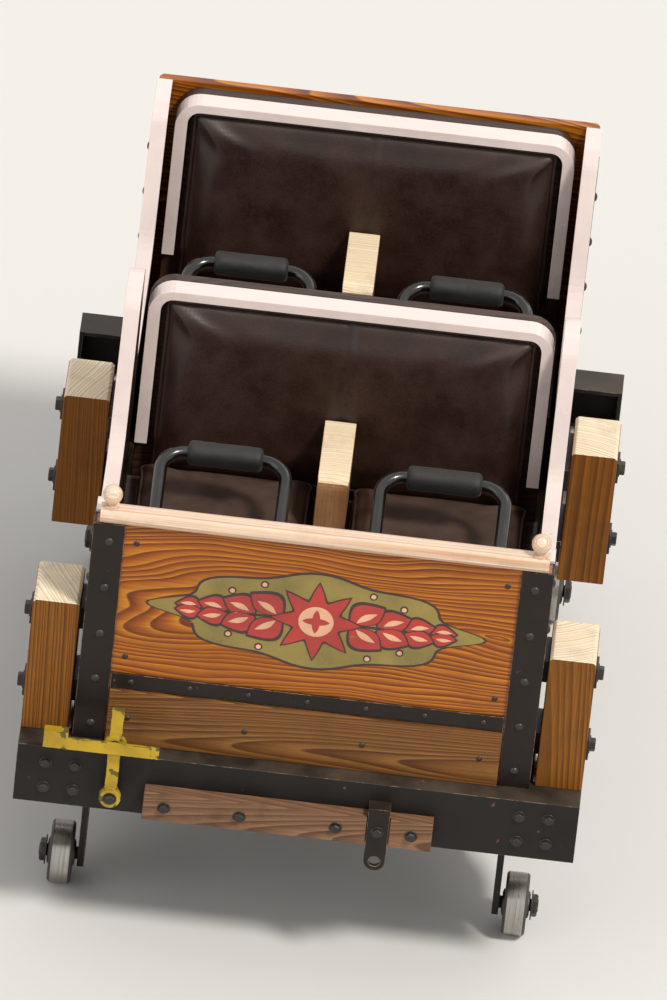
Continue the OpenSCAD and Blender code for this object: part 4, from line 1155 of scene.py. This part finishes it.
def make_wheel_fittings():
    """On each wheel: a ring of bolts through the web, a seal on each side of the hub and the bright tread."""
    for kind, wheel in WHEELS.items():
        flat = kind == "guide"
        out = Vector(OUT["up"] if flat else OUT["left"])
        first_ray = Vector(OUT["left"] if flat else OUT["tail"])
        steel = "rubbed guide tread steel" if flat else "rubbed tread steel"
        bolt = hex_head(0.008 if kind == "road" else 0.006, 0.006)
        seal_t = 0.0016
        seal = lathe([(wheel.axle + 0.004, 0.0), (wheel.hub - 0.004, 0.0), (wheel.hub - 0.006, seal_t),
                      (wheel.axle + 0.005, seal_t)], 40, ring=True)
        # the rubbed band stands 0.4 mm proud of the tread and ends 6 mm from its sides
        inner, outer = wheel.radius - 0.002, wheel.radius + 0.0004
        foot, crown = wheel.half - 0.0055, wheel.half - 0.0065
        tread = lathe([(inner, -foot), (outer, -crown), (outer, crown), (inner, foot)], 96, ring=True)
        for end, side in product(ENDS, SIDES):
            body = f"{kind}_wheel_{end}_{side}"
            centre = middle(body)
            fittings = bmesh.new()
            for face in (out, -out):
                stamp(fittings, seal, centre + face * (wheel.half + HUB_PROUD), face)
                for i in range(6):
                    turn = i * math.tau / 6
                    ray = Matrix.Rotation(turn, 3, out) @ first_ray
                    stamp(fittings, bolt, centre + face * wheel.web + ray * wheel.circle, face, turn=turn)
            band = bmesh.new()
            stamp(band, tread, centre, out)
            piece(f"{kind}_fittings_{end}_{side}", fittings, "black oxide", body)
            piece(f"{kind}_tread_{end}_{side}", band, steel, body)


def make_axle_nuts(sizes):
    """Hexagon nuts over the ends of the twelve stub axles."""
    bm = bmesh.new()
    road_nut = hex_head(sizes.road_nut, 0.013)
    small_nut = hex_head(sizes.small_nut, 0.013)
    gap = 0.005
    for end, side, (kind, wheel) in product(ENDS, SIDES, WHEELS.items()):
        nut = road_nut if kind == "road" else small_nut
        out = Vector(OUT["down"] if kind == "guide" else OUT[side])
        face = middle(f"{kind}_wheel_{end}_{side}") + out * (wheel.half + HUB_PROUD + gap)
        stamp(bm, nut, face, out, turn=wheel.radius * 9)
    piece("axle_nuts", bm, "black oxide")


def weld(bm, corners, radius, closed=False):
    """A weld bead along straight runs between corners, rippled at every pass of the rod."""
    rod_pass = 0.004
    line = []
    runs = list(zip(corners, corners[1:])) + ([(corners[-1], corners[0])] if closed else [])
    for start, stop in runs:
        count = max(2, round((stop - start).length / rod_pass))
        line += [start + (stop - start) * i / count for i in range(count)]
    if not closed:
        line.append(corners[-1])
    # it wanders by up to a fifth of its radius, over some 11 mm
    wobbled = [p + noise.noise_vector(p * 90) * radius * 0.18 for p in line]
    tube(bm, wobbled, radius, closed, resolution=1, ripple=0.22)


def make_welds(sizes):
    """Weld beads where the axle tubes meet the carriers and the sills, and where the sills meet the beams."""
    # the beads wobble in the same way in every run
    noise.seed_set(1)
    bm = bmesh.new()
    tube_x = reach("axle_tubes", "left")
    under, top = reach("axle_tubes", "down"), reach("axle_tubes", "up")
    half_tube = 0.035
    sill_x = reach("side_sills", "left")
    flange_x = 0.380
    # a bead stops 2 mm short of the ends of its seam
    inset = 0.002
    for station, way in product(AXLES.values(), SIDES.values()):
        near, far = station - half_tube, station + half_tube
        corners = ((near, under), (far, under), (far, top), (near, top))
        weld(bm, [at(way * tube_x, *corner) for corner in corners], sizes.weld, closed=True)
        for edge in (near, far):
            weld(bm, [at(way * x, edge, top) for x in (flange_x + inset, sill_x - inset)], sizes.weld)
    low, high = reach("side_sills", "down") + inset, reach("side_sills", "up") - inset
    for way, end in product(SIDES.values(), ("nose", "tail")):
        station = reach("side_sills", end)
        foot = at(way * sill_x, station, low)
        weld(bm, [foot, at(way * sill_x, station, high)], sizes.weld)
        weld(bm, [at(way * flange_x, station, low), foot], sizes.weld)
    piece("weld_beads", bm, "black oxide", crease=60)


def make_underside_fittings():
    """Bolts of the brake fin's flange, and the washers and pin heads of the dogs and the drawbar."""
    bm = bmesh.new()
    fin_bolt = hex_head(0.009, 0.006)
    flange_under = -0.200
    fin_inset = 0.010
    fin_x = (reach("brake_fin", "right") + fin_inset, reach("brake_fin", "left") - fin_inset)
    for station in AXLES.values():
        fasten(bm, fin_bolt, "down", fin_x, (station - 0.02, station + 0.02), [flange_under])
    washer_t = 0.003
    washer = lathe([(0, washer_t), (0.020, washer_t), (0.021, 0.002), (0.021, -SUNK), (0, -SUNK)])
    pin_head = coach_head(0.011, 0.007)
    dog_stations = (0.620, 1.250)
    dog_height = -0.160
    lug_x = 0.033
    for side, way in SIDES.items():
        fasten(bm, washer, side, [way * lug_x], dog_stations, [dog_height])
        fasten(bm, pin_head, side, [way * (lug_x + washer_t)], dog_stations, [dog_height])
    # the drawbar's pin has a head above its jaw and a nut below
    pin_station, jaw_top, jaw_under = 1.910, -0.036, -0.115
    stamp(bm, hex_head(0.018, 0.010), at(0, pin_station, jaw_top), OUT["up"])
    stamp(bm, hex_head(0.020, 0.012), at(0, pin_station, jaw_under), OUT["down"])
    piece("underside_fittings", bm, "black oxide")


def make_pedal_fittings(sizes):
    """Raised ribs on the release pedal's tread, and the bolts of its hubs."""
    low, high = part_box("release_pedal")
    lever_x = -0.440
    lever_half = 0.022
    tread_station, tread_top = -0.096, 0.0408
    ribs = bmesh.new()
    rib = bar((0.004, 0.016, 0.003), 0.0008)
    for x in spread(low.x + 0.075, high.x - 0.012, 12):
        if abs(x - lever_x) > lever_half:
            stamp(ribs, rib, at(x, tread_station, tread_top), OUT["up"], turn=0.5)
    piece("pedal_ribs", ribs, "enamel on edges")
    bolts = bmesh.new()
    hub_face = -0.102
    bolt = hex_head(sizes.pedal_bolt, 0.007)
    fasten(bolts, bolt, "nose", [lever_x], [hub_face], (-0.100, 0.050), by_height=1)
    piece("pedal_bolts", bolts, "black oxide")


# Stage

LAMPS = (
    # name, direction that it shines from, strength, angle in degrees, colour
    ("key", (0.52, -0.46, 1.0), 2.35, 10, (1, 0.97, 0.92)),
    ("fill", (-0.8, -0.7, 0.5), 0.42, 50, (0.93, 0.96, 1)),
    ("back", (0.3, 0.9, 0.75), 0.35, 40, (1, 1, 1)),
)


def make_lamp(name, direction, strength, degrees, colour):
    """A soft sun lamp that shines from a direction."""
    lamp = bpy.data.lights.new(name, "SUN")
    lamp.energy = strength
    lamp.angle = math.radians(degrees)
    lamp.color = colour
    obj = bpy.data.objects.new(name, lamp)
    obj.rotation_mode = "QUATERNION"
    obj.rotation_quaternion = Vector(direction).to_track_quat("Z", "Y")
    obj.location = Vector(direction) * 5
    bpy.context.scene.collection.objects.link(obj)


def make_floor(settings):
    """A pale matt floor that keeps the car's shadow. From below it lets the view of the underside through."""
    bm = bmesh.new()
    bmesh.ops.create_grid(bm, x_segments=1, y_segments=1, size=90)
    mesh = bpy.data.meshes.new("floor")
    bm.to_mesh(mesh)
    bm.free()
    floor = bpy.data.objects.new("floor", mesh)
    bpy.context.scene.collection.objects.link(floor)
    tree, shader, _ = blank("studio floor")
    join(tree, shader, {"Base Color": (*settings.floor_colour, 1), "Roughness": 0.9})
    side = add(tree, "NewGeometry", out="Backfacing")
    clear = add(tree, "BsdfTransparent")
    mixed = add(tree, "MixShader", [side, shader.outputs[0], clear])
    join(tree, tree.nodes["Material Output"], {"Surface": mixed})
    mesh.materials.append(bpy.data.materials["studio floor"])


def make_world():
    """A dim sky that lights the car from all round, behind a pale backdrop."""
    world = bpy.data.worlds.new("studio")
    bpy.context.scene.world = world
    world.use_nodes = True
    sky = world.node_tree
    height = add(sky, "SeparateXYZ", [add(sky, "TexCoord", out="Generated")], out=2)
    glow = add(sky, "MapRange", [height, -0.2, 1.0, 0.30, 0.62])
    # the eye, a reflection and a view through glass all see the same pale backdrop
    rays = add(sky, "LightPath").node.outputs
    seen = rays["Is Camera Ray"]
    for ray in ("Is Glossy Ray", "Is Transmission Ray"):
        seen = add(sky, "Math", [seen, rays[ray]], operation="MAXIMUM")
    backdrop = 0.86
    level = add(sky, "Mix", {0: seen, 2: glow, 3: backdrop})
    join(sky, sky.nodes["Background"], {"Strength": level, "Color": (1, 0.99, 0.975, 1)})


def make_camera(settings):
    """The camera at the photograph's angle, with a long lens from far away."""
    scene = bpy.context.scene
    lens = bpy.data.cameras.new("camera")
    lens.sensor_fit = "AUTO"
    lens.lens = lens.sensor_width * settings.distance / settings.view_height
    lens.clip_start = 1
    lens.clip_end = 400
    camera = bpy.data.objects.new("camera", lens)
    scene.collection.objects.link(camera)
    turn, rise = settings.azimuth, settings.elevation
    back = Vector((math.sin(turn) * math.cos(rise), -math.cos(turn) * math.cos(rise), math.sin(rise)))
    rolled = Matrix.Rotation(settings.roll, 3, "Z").to_quaternion()
    camera.rotation_mode = "QUATERNION"
    camera.location = Vector((0, 0, settings.aim_height)) + back * settings.distance
    camera.rotation_quaternion = back.to_track_quat("Z", "Y") @ rolled
    scene.camera = camera


def make_stage(settings):
    """The floor, the world, the lamps and the camera."""
    bpy.context.scene.view_settings.view_transform = "Standard"
    make_floor(settings)
    make_world()
    for lamp in LAMPS:
        make_lamp(*lamp)
    make_camera(settings)


# Operators

class COASTER_OT_stage(bpy.types.Operator):
    """Set up the floor, the world, the lamps and the camera"""

    bl_idname = "coaster.stage"
    bl_label = "Stage"

    def execute(self, context):
        make_stage(context.scene.coaster_stage)
        return {"FINISHED"}


class COASTER_OT_finishes(bpy.types.Operator):
    """Make the car's materials"""

    bl_idname = "coaster.finishes"
    bl_label = "Finishes"

    def execute(self, context):
        make_finishes(context.scene.coaster_finish)
        return {"FINISHED"}


class COASTER_OT_boards(bpy.types.Operator):
    """Finish the timber of the body"""

    bl_idname = "coaster.boards"
    bl_label = "Boards"

    def execute(self, context):
        finish_boards(context.scene.coaster_parts)
        return {"FINISHED"}


class COASTER_OT_steelwork(bpy.types.Operator):
    """Finish the frame, the irons, the panels and the lap bars"""

    bl_idname = "coaster.steelwork"
    bl_label = "Steelwork"

    def execute(self, context):
        finish_steelwork(context.scene.coaster_parts)
        return {"FINISHED"}


class COASTER_OT_wheels(bpy.types.Operator):
    """Finish the wheels and add their bolts, seals, treads and nuts"""

    bl_idname = "coaster.wheels"
    bl_label = "Wheels"

    def execute(self, context):
        finish_wheels()
        make_wheel_fittings()
        make_axle_nuts(context.scene.coaster_parts)
        return {"FINISHED"}


class COASTER_OT_cushions(bpy.types.Operator):
    """Blow up the four seat cushions and pipe their edges"""

    bl_idname = "coaster.cushions"
    bl_label = "Seat cushions"

    def execute(self, context):
        make_cushions(context.scene.coaster_parts)
        return {"FINISHED"}


class COASTER_OT_back_pads(bpy.types.Operator):
    """Blow up the two back pads, with their seam and piping"""

    bl_idname = "coaster.back_pads"
    bl_label = "Back pads"

    def execute(self, context):
        make_back_pads(context.scene.coaster_parts)
        return {"FINISHED"}


class COASTER_OT_lap_sleeves(bpy.types.Operator):
    """Make the foam sleeves of the lap bars"""

    bl_idname = "coaster.lap_sleeves"
    bl_label = "Lap bar sleeves"

    def execute(self, context):
        make_lap_sleeves()
        return {"FINISHED"}


class COASTER_OT_ornament(bpy.types.Operator):
    """Paint the ornament on the front panel"""

    bl_idname = "coaster.ornament"
    bl_label = "Ornament"

    def execute(self, context):
        make_ornament(context.scene.coaster_parts)
        return {"FINISHED"}


class COASTER_OT_body_fasteners(bpy.types.Operator):
    """Add the bolts and screws of the body, the beams, the posts and the deck"""

    bl_idname = "coaster.body_fasteners"
    bl_label = "Body fasteners"

    def execute(self, context):
        sizes = context.scene.coaster_parts
        make_nose_bolts(sizes)
        make_beam_bolts(sizes)
        make_side_bolts(sizes)
        make_panel_screws(sizes)
        make_post_bolts(sizes)
        make_deck_screws(sizes)
        make_stand_bolts(sizes)
        return {"FINISHED"}


class COASTER_OT_underside(bpy.types.Operator):
    """Add the welds and fittings of the frame and the ribs of the pedal"""

    bl_idname = "coaster.underside"
    bl_label = "Welds and fittings"

    def execute(self, context):
        sizes = context.scene.coaster_parts
        make_welds(sizes)
        make_underside_fittings()
        make_pedal_fittings(sizes)
        return {"FINISHED"}


OPERATORS = (
    COASTER_OT_stage,
    COASTER_OT_finishes,
    COASTER_OT_boards,
    COASTER_OT_steelwork,
    COASTER_OT_wheels,
    COASTER_OT_cushions,
    COASTER_OT_back_pads,
    COASTER_OT_lap_sleeves,
    COASTER_OT_ornament,
    COASTER_OT_body_fasteners,
    COASTER_OT_underside,
)


class COASTER_PT_panel(bpy.types.Panel):
    """The car's pieces in the order in which they are made, and their settings"""

    bl_idname = "COASTER_PT_panel"
    bl_label = "Coaster Car"
    bl_space_type = "VIEW_3D"
    bl_region_type = "UI"
    bl_category = "Coaster Car"

    def draw(self, context):
        for operator in OPERATORS:
            self.layout.operator(operator.bl_idname)
        for name in SETTINGS:
            group = getattr(context.scene, name)
            box = self.layout.box()
            for setting in group.__annotations__:
                box.prop(group, setting)


SETTINGS = {
    "coaster_finish": FinishSettings,
    "coaster_parts": PartSettings,
    "coaster_stage": StageSettings,
}
CLASSES = (*SETTINGS.values(), *OPERATORS, COASTER_PT_panel)


def register():
    """Registers the classes and gives the scene its settings."""
    for kind in CLASSES:
        bpy.utils.register_class(kind)
    for name, group in SETTINGS.items():
        setattr(bpy.types.Scene, name, bpy.props.PointerProperty(type=group))


def unregister():
    """Takes the settings and the classes away again."""
    for name in SETTINGS:
        delattr(bpy.types.Scene, name)
    for kind in reversed(CLASSES):
        bpy.utils.unregister_class(kind)


def main():
    """Makes every piece in order."""
    register()
    for operator in OPERATORS:
        group, name = operator.bl_idname.split(".")
        getattr(getattr(bpy.ops, group), name)()


if __name__ == "__main__":
    main()
